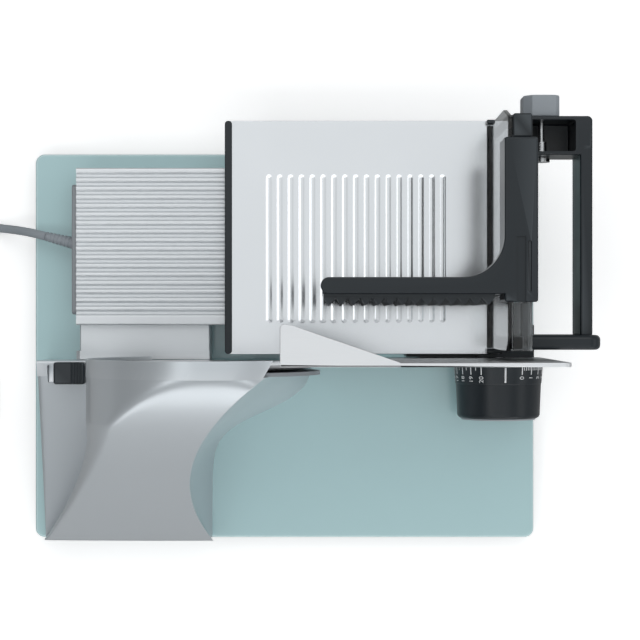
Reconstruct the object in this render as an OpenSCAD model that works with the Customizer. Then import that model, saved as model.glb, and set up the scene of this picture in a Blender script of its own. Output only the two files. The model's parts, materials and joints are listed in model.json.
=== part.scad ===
// Electric all-purpose slicer: round blade, food carriage, adjustable stop plate, glass base.
// Construction frame: X to the operator's side, Y from the slice side to the food side, Z up.
// It is drawn about the blade axis (x = 0, cutting plane y = 0, table z = 0) and then moved
// so that the origin lies at the middle of its footprint on the table.

/* [Glass base plate] */
// Length of the glass plate
glass_l = 385; // [375:1:470]
// Depth of the glass plate
glass_w = 296; // [290:1:360]
// Thickness of the glass plate
glass_t = 8; // [6:0.5:12]
// Corner radius of the glass plate
glass_r = 7; // [3:1:14]
// Height of the rubber feet
foot_h = 12; // [9:0.5:16]
// Diameter of a rubber foot
foot_d = 34; // [24:1:42]
// Blade axis to the left edge of the glass
blade_from_left = 144; // [143:1:150]
// Cutting plane to the front edge of the glass
blade_from_front = 138; // [134:1:145]

/* [Blade] */
// Diameter of the blade
blade_d = 170; // [141:1:176]
// Thickness of the blade disc
blade_t = 1.2; // [1:0.1:1.6]
// Depth of the dished middle of the blade
blade_dish = 3; // [2:0.5:3]
// Gap between the blade and the bridge below it
blade_gap = 3; // [2:0.5:6]
// Radial gap between the blade and the hood rim
hood_gap = 1.5; // [1:0.5:3]
// Wall of the hood rim
hood_wall = 1.5; // [1:0.5:3]

/* [Slide bed] */
// Length of the ribbed slide bed
bed_l = 311; // [300:1:330]
// Width of the slide bed
bed_w = 118; // [112:1:130]
// Height of the slide bed over the glass
bed_h = 38; // [36:1:44]
// Wall of the slide bed
bed_wall = 3; // [2.5:0.5:4]
// Pitch of the grooves in the bed
groove_pitch = 6.44; // [5:0.1:7]
// Number of grooves in the bed
groove_count = 17; // [12:1:17]
// Height of the bridge over the glass
bridge_h = 30; // [26:1:34]
// Diameter of the two guide rods
rod_d = 8; // [6:0.5:9.6]
// Travel of the food carriage
carriage_travel = 235; // [180:1:235]

/* [Housing] */
// Wall of the motor housing at its foot
shell_wall = 4; // [3:0.5:5]
// Height of the switch ledge over the glass
ledge_h = 49; // [46:1:56]
// Height of the front edge of the sail over the glass
front_h = 22; // [18:1:30]

/* [Carriage] */
// Length of the carriage plate
plate_l = 203; // [190:1:203]
// Depth of the carriage plate
plate_w = 174; // [165:1:180]
// Thickness of the carriage plate
plate_t = 2; // [1.5:0.5:3]
// Gap between the bed and the carriage plate
plate_gap = 6; // [4:0.5:8]
// Number of raised ribs on the plate
rib_count = 17; // [8:1:17]
// Pitch of the raised ribs
rib_pitch = 8.08; // [6:0.1:8.5]
// Height of the clear guard over the plate
guard_h = 120; // [100:1:120]
// Thickness of the clear guard
guard_t = 3; // [2:0.5:3]
// Width of the handle's finger gap
finger_gap = 36; // [28:1:40]

/* [Stop plate and thickness knob] */
// Thickness of the stop plate
stop_t = 3; // [2:0.5:3.5]
// Gap between the blade rim and the arc of the stop plate
stop_gap = 2; // [1.5:0.5:4]
// Greatest slice thickness that the plate opens to
slice_max = 20; // [10:1:20]
// Diameter of the thickness knob at its scale
knob_d = 66.9; // [50:0.1:68]
// Length of the thickness knob
knob_l = 42; // [40:1:50]
// Diameter of the fixed spindle
spindle_d = 10; // [8:0.5:12]
// Diameter of the stop plate's guide pins
pin_d = 8; // [6:0.5:10]

/* [Drive] */
// Module of the gear pair at the blade
blade_module = 0.9; // [0.7:0.05:0.95]
// Module of the gear pair at the motor
motor_module = 0.7; // [0.6:0.05:0.75]
// Teeth of both large gears
gear_teeth = 60; // [48:1:60]
// Teeth of both pinions
pinion_teeth = 12; // [12:1:14]
// Diameter of the motor
motor_d = 50; // [44:1:50]

/* [Cord] */
// Diameter of the mains lead
cord_d = 6.6; // [5:0.1:7.5]

/* [Hidden] */
$fn = 48;

// Colours
GLASS = "#a1c0c2";
CAST = "#bec5c9";
SILVER = "#aab2b8";
STEEL = "#d6dadd";
BLACK = "#32383c";
GREY = "#969ea6";
COPPER = "#b0703c";
BRASS = "#c8a850";
CLEAR = "#dfe8ea";

// Fits
fit = 0.05;            // radial clearance of a shaft in its own bush or bore
body_gap = 0.3;        // clearance between pieces of different bodies

// Glass plate, with the blade axis at x = 0 and the cutting plane at y = 0
base_z = foot_h + glass_t;
glass_x0 = -blade_from_left;
glass_x1 = glass_x0 + glass_l;
glass_y0 = -blade_from_front;
glass_y1 = glass_y0 + glass_w;
foot_inset = 22;       // centre of a foot to the edges of the glass

// Blade and hood
blade_r = blade_d / 2;
axis_z = base_z + bridge_h + blade_gap + blade_r;
room_r = blade_r + hood_gap;
hood_r = room_r + hood_wall;
hood_y = 3;            // how far the rim stands past the cutting plane
rim_lip = 0.5;         // how far the rim stands out of the drum
hood_open = 60;        // angles between which the rim covers the blade
hood_end = 235;
blade_back = -blade_dish - blade_t;
backing_r = blade_r - 9;
backing_y = blade_back - 1.2;
housing_y = backing_y - 2.6;

// Slide bed
bed_x0 = glass_x0 + 36.8;
bed_x1 = bed_x0 + bed_l;
bed_y0 = 26.2;
bed_y1 = bed_y0 + bed_w;
bed_z = base_z + bed_h;
bed_roof = 6;
groove_w = 1.6;
groove_deep = 1.6;
first_groove = bed_y1 - 5.7;
slot_z0 = base_z + 16;
slot_z1 = base_z + 28;
rod_z = base_z + 22;
rod_y = [bed_y1 - 30, bed_y1 - 12];
rod_seat = 6;          // length of each rod seat inside the end walls
bridge_z = base_z + bridge_h;

// Carriage plate: it ends above the right end of the bed
plate_x1 = bed_x1 + 6.1;
plate_x0 = plate_x1 - plate_l;
plate_y0 = 4.5;
plate_y1 = plate_y0 + plate_w;
plate_z = bed_z + plate_gap;
plate_top = plate_z + plate_t;
rib_r = 1.4;
rib_y0 = plate_y0 + 25.9;
rib_y1 = rib_y0 + 105.5;
rib_x0 = plate_x0 + 31;
block_l = 52;
block_x1 = bed_x1 - bed_wall - rod_seat - 4;
block_x0 = block_x1 - block_l;
block_y = [rod_y[0] - 8, bed_y1 - bed_wall - 3];

// Guard, rail and handle
guard_x0 = plate_x1 - 7.2;
guard_x1 = guard_x0 + guard_t;
guard_z = plate_top + guard_h;
rail_x0 = guard_x1 + 0.3;
rail_x1 = rail_x0 + 12.8;
rail_z0 = guard_z - 8;
rail_z1 = guard_z + 4;
rail_y0 = plate_y0 + 4.5;
rail_y1 = plate_y1 - 9.4;
cap_y0 = rail_y1 - 16;
spine_x1 = guard_x1 + 9.1;
handle_z0 = plate_top + 34;
handle_z1 = handle_z0 + 38;
shield_z0 = plate_top + 29;
shield_z1 = plate_top + 94;
shield_y0 = plate_y0 + 4.8;
shield_y1 = shield_y0 + 10.3;
bar_x0 = spine_x1 + 8 + finger_gap;
bar_x1 = bar_x0 + 8.8;
shield_x1 = bar_x1 + 3;
far_y0 = plate_y1 - 32.4;
far_y1 = plate_y1 - 5;
lock_x = spine_x1 + 19.4;
lock_z = handle_z0 + 17;
lock_y1 = plate_y1 + 11;

// Pusher
mount_x0 = guard_x0 - 3.4;
mount_x1 = rail_x1 + 3;
mount_y0 = plate_y0 + 37.5;
mount_y1 = mount_y0 + 110.5;
mount_z0 = shield_z1 + 5;
mount_z1 = rail_z1 + 7;
arm_x0 = mount_x0 - 125;
arm_y0 = mount_y0 + 5.4;
arm_y1 = arm_y0 + 11.3;
arm_z0 = plate_top + 6;
spike_l = 7.4;

// Stop plate: its arc follows the blade
stop_y1 = 1.8;
stop_y0 = stop_y1 - stop_t;
stop_r = blade_r + stop_gap;
stop_x1 = plate_x1 + 32.6;
stop_top = axis_z + hood_r - 14.5;
stop_left = 49.4;
knob_x = plate_x1;
knob_z = base_z + 36;
knob_y1 = stop_y0 - 2.1;
knob_y0 = knob_y1 - knob_l;
knob_r = knob_d / 2;
knob_bore = 12.15;
lead = 23.6;           // travel of the plate in one turn of the spindle's scroll
carrier_x0 = knob_x - 69;
carrier_x1 = knob_x + 26;
pin_x = [knob_x - 54, knob_x + 18];
pin_z = base_z + 22;
pin_l = 34;

// Housing outline, worked out along y from the blade to the front edge
left_x = glass_x0 + 9.1;
front_y = glass_y0 + 0.2;
ledge_z = base_z + ledge_h;
foot_x = -7.2;
crest_x = -16.5;
top_z = axis_z + hood_r;
front_z = base_z + front_h;
inner_y = housing_y - 7;
sail_start = 6;        // the roof begins to fall this far behind the cutting plane
sail_drop = 7;         // roof thickness measured straight down
sail_crown = 0.0004;   // the roof is slightly crowned across
flank_bow = 3;         // how far the right flank is hollowed
fan_x = -50;           // a place inside every section of the housing
nose_wall = 6;         // thickness of the low front edge

// Gear train: blade axis, countershaft axis, motor axis, each as [x, z]
gear_cd = blade_module * (gear_teeth + pinion_teeth) / 2;
motor_cd = motor_module * (gear_teeth + pinion_teeth) / 2;
counter_dir = 205;
motor_dir = 225;
counter = [gear_cd * cos(counter_dir), axis_z + gear_cd * sin(counter_dir)];
motor = counter + motor_cd * [cos(motor_dir), sin(motor_dir)];
chassis_y1 = inner_y - 18;
chassis_y0 = chassis_y1 - 3;
blade_shaft_r = 4;
counter_shaft_r = 2.5;
motor_shaft_r = 2.25;
pillars = [[-8, axis_z + 34], [motor[0] - 19, motor[1] + 22], [-8, axis_z - 40]];
stator_y1 = chassis_y0 - 5.5;
stator_y0 = stator_y1 - 30;
end_plate_y0 = stator_y0 - 5;

// Screws from below into the castings, each as [x, y]
bed_screws = [for (x = [bed_x0 + 8, bed_x1 - 8], y = [bed_y0 + 8.8, bed_y1 - 8]) [x, y]];
shell_screws = [[left_x + 7.5, -60], [foot_x - 6.8, -110], [38, -19]];
boss_h = 11;
screw_r = 2.4;

// Mains lead: the point where it leaves the strain relief, its route over the table, the coil
gland = [bed_x0 - 2.8, 88, base_z + 18];
relief_dir = [-0.955, 0.24, -0.17];
relief_l = 24;
cord_exit = gland + relief_l * relief_dir;
coil_centre = [-232, 66];
coil_r = 36.5;
cord_route = [
    cord_exit, [-140, 95.5, 30.8], [-147, 97.2, 27], [-154, 98.6, 21.6], [-161, 99.8, 15.6],
    [-168, 100.8, 10.4], [-176, 101.8, 6.4], [-184, 102.8, 4.2], [-193, 103.8, 3.5],
    [-203, 104.8, 3.4], [-213, 105.5, 3.4], [-221, 105.8, 3.4]
];
tail_route = [
    [-220, 26.2, 9.8], [-212.8, 25.2, 8.8], [-206, 22.4, 7.4], [-200.2, 18, 6.1],
    [-195.8, 12.2, 5.6], [-193, 5.4, 6.2], [-192, -1.8, 7.4]
];
plug_at = [-192, -1.8, 7.4];

origin = [(glass_x0 + shield_x1) / 2, (glass_y0 + lock_y1) / 2, 0];

// ---------- helpers ----------

// Moves a piece from the blade's frame to the part's own frame
module placed() {
    translate(-origin) children();
}

module block(a, b) {
    translate(a) cube(b - a);
}

// A cylinder along Y between y0 and y1 at [x, z]
module bar_y(at, y0, y1, r) {
    translate([at[0], y1, at[1]]) rotate([90, 0, 0]) cylinder(h = y1 - y0, r = r);
}

// A flat outline in X and Z, thick from y0 to y1
module slab_y(y0, y1) {
    translate([0, y1, 0]) rotate([90, 0, 0]) linear_extrude(y1 - y0) children();
}

// A turned piece about an axis along Y at [x, z]; its profile is [radius, distance to -Y]
module turned_y(at) {
    translate([at[0], 0, at[1]]) rotate([90, 0, 0]) rotate_extrude($fn = 96) children();
}

// A rounded rectangle kept exact: a cross of two squares and four circles
module exact_round(a, b, r) {
    translate([a[0] + r, a[1]]) square([b[0] - a[0] - 2 * r, b[1] - a[1]]);
    translate([a[0], a[1] + r]) square([b[0] - a[0], b[1] - a[1] - 2 * r]);
    for (x = [a[0] + r, b[0] - r], y = [a[1] + r, b[1] - r]) translate([x, y]) circle(r);
}

// Solid between closed rings of equally many points; each end is a fan about its own point
module loft(rings, ends) {
    n = len(rings[0]);
    last = len(rings) - 1;
    sides = [
        for (i = [0:last - 1], j = [0:n - 1], k = [0, 1])
            let (a = i * n + j, b = i * n + (j + 1) % n)
                k == 0 ? [a, b, b + n] : [a, b + n, a + n]
    ];
    first_end = (last + 1) * n;
    fans = [
        for (j = [0:n - 1]) each [
            [first_end, (j + 1) % n, j],
            [first_end + 1, last * n + j, last * n + (j + 1) % n]
        ]
    ];
    polyhedron(concat([for (r = rings) each r], ends), concat(sides, fans));
}

// Involute stub teeth, 25 degrees, as one closed outline
function inv(a) = tan(a) * 180 / PI - a;
function flank_points(m, z, side) =
    let (r = m * z / 2, rb = r * cos(25), lo = max(rb, r - 1.05 * m), hi = r + 0.8 * m,
         half = 90 / z - 0.05 * 180 / PI / r + inv(25))
        [for (i = [0:4]) let (q = lo + (hi - lo) * (side > 0 ? 4 - i : i) / 4)
            [q, side * (half - inv(acos(rb / q)))]];
module gear_outline(m, z, turn) {
    root = m * z / 2 - 1.05 * m;
    one = concat(
        [[root, -(90 / z + 1.2 * 60 / z / 2.2)]], flank_points(m, z, -1),
        flank_points(m, z, 1), [[root, 90 / z + 1.2 * 60 / z / 2.2]]);
    polygon([for (k = [0:z - 1], p = one) p[0] * [cos(p[1] + turn + 360 * k / z),
                                                 sin(p[1] + turn + 360 * k / z)]]);
}
module gear(at, m, z, turn, y0, y1, bore) {
    difference() {
        translate([at[0], 0, at[1]]) slab_y(y0, y1) gear_outline(m, z, turn);
        bar_y(at, y0 - 1, y1 + 1, bore);
    }
}

// ---------- base ----------

module glass_plate() {
    color(GLASS, 0.8) placed() difference() {
        translate([0, 0, foot_h]) linear_extrude(glass_t)
            exact_round([glass_x0, glass_y0], [glass_x1, glass_y1], glass_r);
        for (p = concat(bed_screws, shell_screws))
            translate([p[0], p[1], foot_h - 1]) cylinder(h = glass_t + 2, r = screw_r + 0.4);
    }
}

module rubber_feet() {
    color(BLACK) placed()
        for (x = [glass_x0 + foot_inset, glass_x1 - foot_inset])
            for (y = [glass_y0 + foot_inset, glass_y1 - foot_inset])
                translate([x, y, 0]) rotate_extrude() polygon([
                    [0, 0], [foot_d / 2 - 1, 0], [foot_d / 2, 1], [foot_d / 2 - 1.5, foot_h],
                    [0, foot_h]
                ]);
}

module slide_bed() {
    color(CAST) placed() difference() {
        union() {
            difference() {
                block([bed_x0, bed_y0, base_z], [bed_x1, bed_y1, bed_z]);
                block([bed_x0 + bed_wall, bed_y0 + bed_wall, base_z - 1],
                      [bed_x1 - bed_wall, bed_y1 - bed_wall, bed_z - bed_roof]);
            }
            for (p = bed_screws) translate([p[0], p[1], base_z]) cylinder(h = boss_h, r = 6);
            for (x = [bed_x0, bed_x1 - bed_wall - rod_seat], y = rod_y)
                translate([x, y, rod_z]) rotate([0, 90, 0])
                    cylinder(h = bed_wall + rod_seat, r = rod_d / 2 + 3);
        }
        for (i = [0:groove_count - 1])
            block([bed_x0 - 1, first_groove - i * groove_pitch - groove_w / 2,
                   bed_z - groove_deep],
                  [bed_x1 + 1, first_groove - i * groove_pitch + groove_w / 2, bed_z + 1]);
        block([bed_x0 + bed_wall, bed_y1 - bed_wall - 1, slot_z0],
              [bed_x1 - bed_wall, bed_y1 + 1, slot_z1]);
        for (y = rod_y)
            translate([bed_x0 + 1.5, y, rod_z]) rotate([0, 90, 0])
                cylinder(h = bed_l - 3, r = rod_d / 2 + fit);
        translate([bed_x0 - 1, gland[1], gland[2]]) rotate([0, 90, 0])
            cylinder(h = bed_wall + 2, r = 5.5);
        bar_y([pin_x[0], pin_z], bed_y0 - 1, bed_y0 + bed_wall + 1, pin_d / 2 + 1);
        for (p = bed_screws)
            translate([p[0], p[1], base_z - 1]) cylinder(h = boss_h, r = screw_r + fit);
    }
}

module bed_end_cover() {
    color(CAST) placed() difference() {
        block([bed_x0 - 4.2, bed_y0 + 8, base_z + 4], [bed_x0, bed_y1 - 12, bed_z - 6]);
        translate([bed_x0 - 5, gland[1], gland[2]]) rotate([0, 90, 0]) cylinder(h = 6, r = 5.5);
    }
}

module guide_rods() {
    color(STEEL) placed()
        for (y = rod_y)
            translate([bed_x0 + 2, y, rod_z]) rotate([0, 90, 0])
                cylinder(h = bed_l - 4, r = rod_d / 2);
}

module blade_bridge() {
    color(CAST) placed() difference() {
        union() {
            block([bed_x0 + 1.8, 6, base_z], [foot_x, bed_y0, bridge_z]);
            slab_y(0.2, 6) polygon([
                [bed_x0 + 1.8 - 3, base_z], [bed_x0 + 1.8 - 3, bridge_z - 2],
                [bed_x0 + 1.8, bridge_z], [foot_x, bridge_z], [foot_x, base_z]
            ]);
        }
        block([bed_x0 + 5, 4, base_z - 1], [foot_x - 4, bed_y0 - 4, bridge_z - 4]);
    }
}

// ---------- housing ----------

// The sail falls from the top of the drum to the front edge
function sail(y) = top_z - (top_z - front_z) * pow(max(0, (-y - sail_start) / (-front_y - sail_start)), 1.362);
// Left edge of the drum and its height, flaring out to the front corner
function drum_x(y) =
    -hood_r + (left_x + 2.1 + hood_r) * pow(max(0, (-y - 50) / (-front_y - 53)), 1.5);
function drum_z(y) = max(ledge(y) + 1,
    axis_z - (axis_z - base_z - 5) * pow(max(0, (-y - 40) / (-front_y - 43)), 1.3));
function ledge(y) = base_z + 5 + (ledge_h - 5) * (1 - y / (front_y + 3));
// Right crest and right foot of the flank
function crest(y) = crest_x + 0.0077 * pow(max(0, 94 + y), 2) + 0.0094 * pow(min(0, 94 + y), 2);
function flank_foot(y) = foot_x + 78.5 / (1 + exp((-y - 41) / 9));
// Roof height at x: the lower of the sail and the drum's circle
function roof(x, y, w, drop) =
    let (u = x - drum_x(y) - hood_r, q = pow(hood_r - w, 2) - u * u)
        min(sail(y) - drop - sail_crown * pow(x + 40, 2), drum_z(y) + sqrt(max(0, q)));

// Closed outline of the housing at y; w is the inset of the walls, drop that of the roof
function section(y, w, drop, z0) =
    let (xl = drum_x(y) + w, xr = crest(y) - 1.25 * w, xf = flank_foot(y) - 1.5 * w,
         zr = roof(xr, y, w, drop), zw = max(drum_z(y) - w, ledge(y) - w + 0.5), n = 13)
        concat(
            [[left_x + w, y, z0], [left_x + w, y, ledge(y) - w], [xl, y, ledge(y) - w]],
            [for (i = [0:n]) let (x = xl + (xr - xl) * (1 - cos(90 * i / n)))
                [x, y, max(zw, roof(x, y, w, drop))]],
            [for (i = [1:4])
                [xr + (xf - xr) * i / 4 - flank_bow * sin(45 * i), y, zr + (z0 - zr) * i / 4]]);

module housing_solid(y1, y0, w, drop, z0, steps) {
    loft([for (i = [0:steps]) section(y1 + (y0 - y1) * i / steps, w, drop, z0)],
         [for (y = [y1, y0]) [fan_x, y, z0 + 2]]);
}

module hood_rim() {
    slab_y(housing_y - 1.5, hood_y) translate([0, axis_z]) difference() {
        circle(hood_r + rim_lip, $fn = 128);
        circle(room_r, $fn = 128);
        polygon([
            [0, 0], 200 * [cos(hood_open), sin(hood_open)], [200, 100], [200, -200],
            200 * [cos(hood_end), sin(hood_end)]
        ]);
    }
}

switch_x0 = left_x + 7.8;
switch_x1 = -hood_r - 6.3;

module motor_housing() {
    color(SILVER) placed() difference() {
        union() {
            difference() {
                housing_solid(housing_y, front_y, 0, 0, base_z, 26);
                housing_solid(inner_y, front_y + nose_wall, shell_wall, sail_drop, base_z - 2, 22);
            }
            hood_rim();
            translate([left_x, 0, 0]) rotate([90, 0, 90]) linear_extrude(-room_r + 6 - left_x)
                polygon([[housing_y, base_z], [-0.3, base_z], [-0.3, ledge(-0.3)],
                         [housing_y, ledge(housing_y)]]);
            for (p = shell_screws) translate([p[0], p[1], base_z]) cylinder(h = boss_h + 3, r = 6);
            bar_y([0, axis_z], inner_y - 2, inner_y + 1, 15);
        }
        bar_y([0, axis_z], housing_y - 3, housing_y + 1, 24);
        bar_y([0, axis_z], inner_y - 3, housing_y, 11 + fit);
        bar_y(counter, inner_y - 1, inner_y + 4, 5 + fit);
        for (a = [90, 210, 330])
            bar_y([40 * cos(a), axis_z + 40 * sin(a)], housing_y - 6, housing_y + 1, 1.5 + fit);
        for (p = shell_screws)
            translate([p[0], p[1], base_z - 1]) cylinder(h = boss_h, r = screw_r + fit);
        block([switch_x0, housing_y - 9, ledge_z - 7], [switch_x1, -3.5, ledge_z + 12]);
        block([switch_x0 + 2, inner_y - 3, base_z + 8], [switch_x1 - 1, -5, ledge_z - 11]);
        block([switch_x0 + 4, -12.5, ledge_z - 12], [switch_x1 - 6, -7.5, ledge_z - 6]);
    }
}

module housing_floor_plate() {
    color(STEEL) placed() translate([0, 0, base_z]) linear_extrude(1.5)
        polygon([[-90, inner_y - 6], [foot_x - 12, inner_y - 6], [foot_x - 12, front_y + 34],
                 [-90, front_y + 34]]);
}

module blade_backing_plate() {
    color(GREY) placed() difference() {
        bar_y([0, axis_z], housing_y, backing_y, backing_r, $fn = 96);
        bar_y([0, axis_z], housing_y - 1, backing_y + 1, 26);
        block([-200, housing_y - 1, 0], [200, backing_y + 1, bridge_z + 8]);
        for (a = [90, 210, 330])
            bar_y([40 * cos(a), axis_z + 40 * sin(a)], housing_y - 1, backing_y + 1, 1.8);
    }
}

module backing_screws() {
    color(STEEL) placed()
        for (a = [90, 210, 330]) {
            at = [40 * cos(a), axis_z + 40 * sin(a)];
            bar_y(at, housing_y - 5.5, backing_y, 1.5);
            bar_y(at, backing_y, backing_y + 0.8, 3);
        }
}

module gear_chassis() {
    color(STEEL) placed() difference() {
        union() {
            slab_y(chassis_y0, chassis_y1) hull() {
                translate([0, axis_z]) circle(11);
                translate(motor) circle(motor_d / 2 - 2);
                for (p = pillars) translate(p) circle(6);
            }
            for (p = pillars) bar_y(p, chassis_y1, inner_y, 4);
        }
        bar_y([0, axis_z], chassis_y0 - 1, chassis_y1 + 1, 8 + fit);
        bar_y(counter, chassis_y0 - 1, chassis_y1 + 1, 5 + fit);
        bar_y(motor, chassis_y0 - 1, chassis_y1 + 1, 6);
    }
}

module bush(at, y0, y1, ro, ri) {
    difference() {
        bar_y(at, y0, y1, ro);
        bar_y(at, y0 - 1, y1 + 1, ri + fit);
    }
}

module shaft_bushes() {
    color(BRASS) placed() {
        bush([0, axis_z], inner_y - 2, housing_y - 3.2, 11, blade_shaft_r);
        bush([0, axis_z], chassis_y0, chassis_y1, 8, blade_shaft_r);
        bush(counter, inner_y, inner_y + 3.8, 5, counter_shaft_r);
        bush(counter, chassis_y0, chassis_y1, 5, counter_shaft_r);
    }
}

module motor_stator() {
    color(COPPER) placed() difference() {
        bar_y(motor, stator_y0, stator_y1, motor_d / 2);
        bar_y(motor, stator_y0 - 1, stator_y1 + 1, motor_d / 2 - 8.5);
        for (a = [0:60:300])
            bar_y(motor + (motor_d / 2) * [cos(a), sin(a)], stator_y0 - 1, stator_y1 + 1, 2.5);
    }
}

module motor_end_plates() {
    color(GREY) placed()
        for (y = [[stator_y1, chassis_y0], [end_plate_y0, stator_y0]])
            difference() {
                bar_y(motor, y[0], y[1], motor_d / 2 - 0.5);
                bar_y(motor, min(y) + 1.5, max(y) - 2, motor_d / 2 - 4);
                bar_y(motor, min(y) - 1, max(y) + 1, motor_shaft_r + fit);
            }
}

module motor_cradle() {
    color(GREY) placed() difference() {
        block([motor[0] - 13, stator_y0 + 6, base_z + 1.5],
              [motor[0] + 13, stator_y1 - 8, motor[1] - motor_d / 2 + 4]);
        bar_y(motor, stator_y0, stator_y1, motor_d / 2 + fit);
    }
}

module switch_body() {
    color(BLACK) placed()
        block([switch_x0 + 3, housing_y - 5.5, base_z + 20],
              [switch_x1 - 2, -5, ledge_z - 12.5]);
}

module terminal_block() {
    color(CLEAR) placed() difference() {
        block([-86, -62, base_z + 1.5], [-70, -38, base_z + 13]);
        for (i = [0:2])
            translate([-78, -56 + 8 * i, base_z + 8]) cylinder(h = 8, r = 1.8);
    }
}

// ---------- blade body ----------

module blade() {
    color(STEEL) placed() difference() {
        turned_y([0, axis_z]) polygon([
            [0, blade_dish], [blade_r - 23, blade_dish], [blade_r - 6, 0.4], [blade_r, 0],
            [blade_r, 0.2], [blade_r - 5, 0.4 + blade_t], [blade_r - 22, blade_dish + blade_t],
            [0, blade_dish + blade_t]
        ]);
        for (a = [45:90:315])
            bar_y([12 * cos(a), axis_z + 12 * sin(a)], blade_back - 1, 0, 2.1);
    }
}

module blade_hub() {
    color(GREY) placed() difference() {
        union() {
            bar_y([0, axis_z], housing_y - 2.7, blade_back, 22);
            bar_y([0, axis_z], chassis_y0 - 1.5, housing_y - 2.7, blade_shaft_r);
        }
        for (a = [45:90:315])
            bar_y([12 * cos(a), axis_z + 12 * sin(a)], blade_back - 4, blade_back + 1, 1.9);
    }
}

module blade_screws() {
    color(STEEL) placed()
        for (a = [45:90:315]) {
            at = [12 * cos(a), axis_z + 12 * sin(a)];
            bar_y(at, blade_back - 3.8, -blade_dish, 1.85);
            bar_y(at, -blade_dish, -blade_dish + 1.5, 3.4);
        }
}

main_y1 = inner_y - 2.8;
main_y0 = main_y1 - 5;

module main_gear() {
    color(BRASS) placed()
        gear([0, axis_z], blade_module, gear_teeth, counter_dir, main_y0, main_y1,
             blade_shaft_r + fit);
}

// ---------- countershaft body ----------

module counter_shaft() {
    color(STEEL) placed() bar_y(counter, chassis_y0, inner_y + 3.6, counter_shaft_r);
}

module counter_pinion() {
    color(STEEL) placed()
        gear(counter, blade_module, pinion_teeth, counter_dir + 180 + 180 / pinion_teeth,
             main_y0 - 0.5, main_y1 + 0.5, counter_shaft_r + fit);
}

module counter_gear() {
    color(BRASS) placed()
        gear(counter, motor_module, gear_teeth, motor_dir, main_y0 - 7, main_y0 - 2,
             counter_shaft_r + fit);
}

// ---------- rotor body ----------

module motor_rotor() {
    color(GREY) placed() {
        bar_y(motor, end_plate_y0 - 9, main_y0 - 1, motor_shaft_r);
        difference() {
            bar_y(motor, stator_y0 + 1.5, stator_y1 - 1.5, motor_d / 2 - 9);
            for (a = [0:30:330])
                bar_y(motor + (motor_d / 2 - 9) * [cos(a), sin(a)], stator_y0, stator_y1, 1.2);
        }
    }
}

module motor_pinion() {
    color(STEEL) placed()
        gear(motor, motor_module, pinion_teeth, motor_dir + 180 + 180 / pinion_teeth,
             main_y0 - 7.5, main_y0 - 1.5, motor_shaft_r + fit);
}

module cooling_fan() {
    fan_y1 = end_plate_y0 - 1.5;
    color(BLACK) placed() difference() {
        union() {
            bar_y(motor, fan_y1 - 6, fan_y1, 6);
            for (a = [0:45:315])
                translate([motor[0], 0, motor[1]]) rotate([0, a, 0])
                    block([5, fan_y1 - 5.5, -0.8], [15.5, fan_y1 - 0.5, 0.8]);
        }
        bar_y(motor, fan_y1 - 7, fan_y1 + 1, motor_shaft_r + fit);
    }
}

// ---------- stop plate and thickness knob ----------

module stop_carrier() {
    color(BLACK) placed() difference() {
        union() {
            block([carrier_x0, stop_y1 + body_gap, base_z], [carrier_x1, bed_y0, base_z + 32]);
            block([knob_x - 16, stop_y1 + body_gap, base_z], [carrier_x1, bed_y0, plate_z - 1.2]);
            block([bed_x1, bed_y0, base_z], [carrier_x1, bed_y0 + 16, base_z + 32]);
        }
        for (x = pin_x) bar_y([x, pin_z], 0, bed_y0 + 20, pin_d / 2 + 1.55);
        bar_y([knob_x, knob_z], 0, bed_y0 - 4, spindle_d / 2 + fit);
    }
}

module carrier_bushes() {
    color(BRASS) placed()
        for (x = pin_x)
            bush([x, pin_z], stop_y1 + body_gap, bed_y0, pin_d / 2 + 1.5, pin_d / 2);
}

module thickness_spindle() {
    color(STEEL) placed() difference() {
        bar_y([knob_x, knob_z], knob_y0 + 8, bed_y0 - 4.2, spindle_d / 2);
        bar_y([knob_x, knob_z], knob_y0 + 7, knob_y0 + 14, 2);
    }
}

module stop_outline() {
    difference() {
        polygon([
            [stop_left, stop_top], [stop_x1 - 4, stop_top], [stop_x1, stop_top - 4],
            [stop_x1, base_z + 30], [stop_x1 - 4, base_z + 26],
            [knob_x + 22, base_z + 26], [knob_x + 22, base_z + 14], [knob_x - 60, base_z + 14],
            [knob_x - 60, base_z + 26], [hood_r - 16, base_z + 34], [hood_r - 16, axis_z],
            [stop_left, axis_z]
        ]);
        translate([0, axis_z]) circle(stop_r, $fn = 128);
        translate([knob_x, knob_z]) circle(8.5);
    }
}

module stop_plate() {
    color(CAST) placed() difference() {
        union() {
            slab_y(stop_y0, stop_y1) stop_outline();
            translate([0, 0, stop_top - 2]) linear_extrude(2) polygon([
                [stop_left, stop_y0], [stop_left, 26.5], [stop_left + 1.6, 27.4],
                [stop_left + 8, 26.4], [stop_left + 80, stop_y1 - 0.1],
                [stop_left + 80, stop_y0]
            ]);
        }
        bar_y([0, axis_z], stop_y0 - 1, stop_y1 + 40, stop_r, $fn = 128);
        for (x = pin_x) bar_y([x, pin_z], stop_y0 - 1, stop_y1 + 1, pin_d / 2 - 1 + fit);
    }
}

module stop_guide_pins() {
    color(STEEL) placed()
        for (x = pin_x) {
            bar_y([x, pin_z], stop_y0, stop_y1, pin_d / 2 - 1);
            bar_y([x, pin_z], stop_y1, stop_y1 + pin_l, pin_d / 2);
        }
}

module knob_bearing_hub() {
    color(GREY) placed() difference() {
        union() {
            bar_y([knob_x, knob_z], stop_y0 - 1.8, stop_y0, 16);
            bar_y([knob_x, knob_z], knob_y1 - 5.5, stop_y0, knob_bore - fit);
            bar_y([knob_x, knob_z], stop_y0, stop_y1 - 0.5, 8.5 - fit);
        }
        bar_y([knob_x, knob_z], knob_y1 - 7, stop_y1 + 1, spindle_d / 2 + 1);
    }
}

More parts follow.
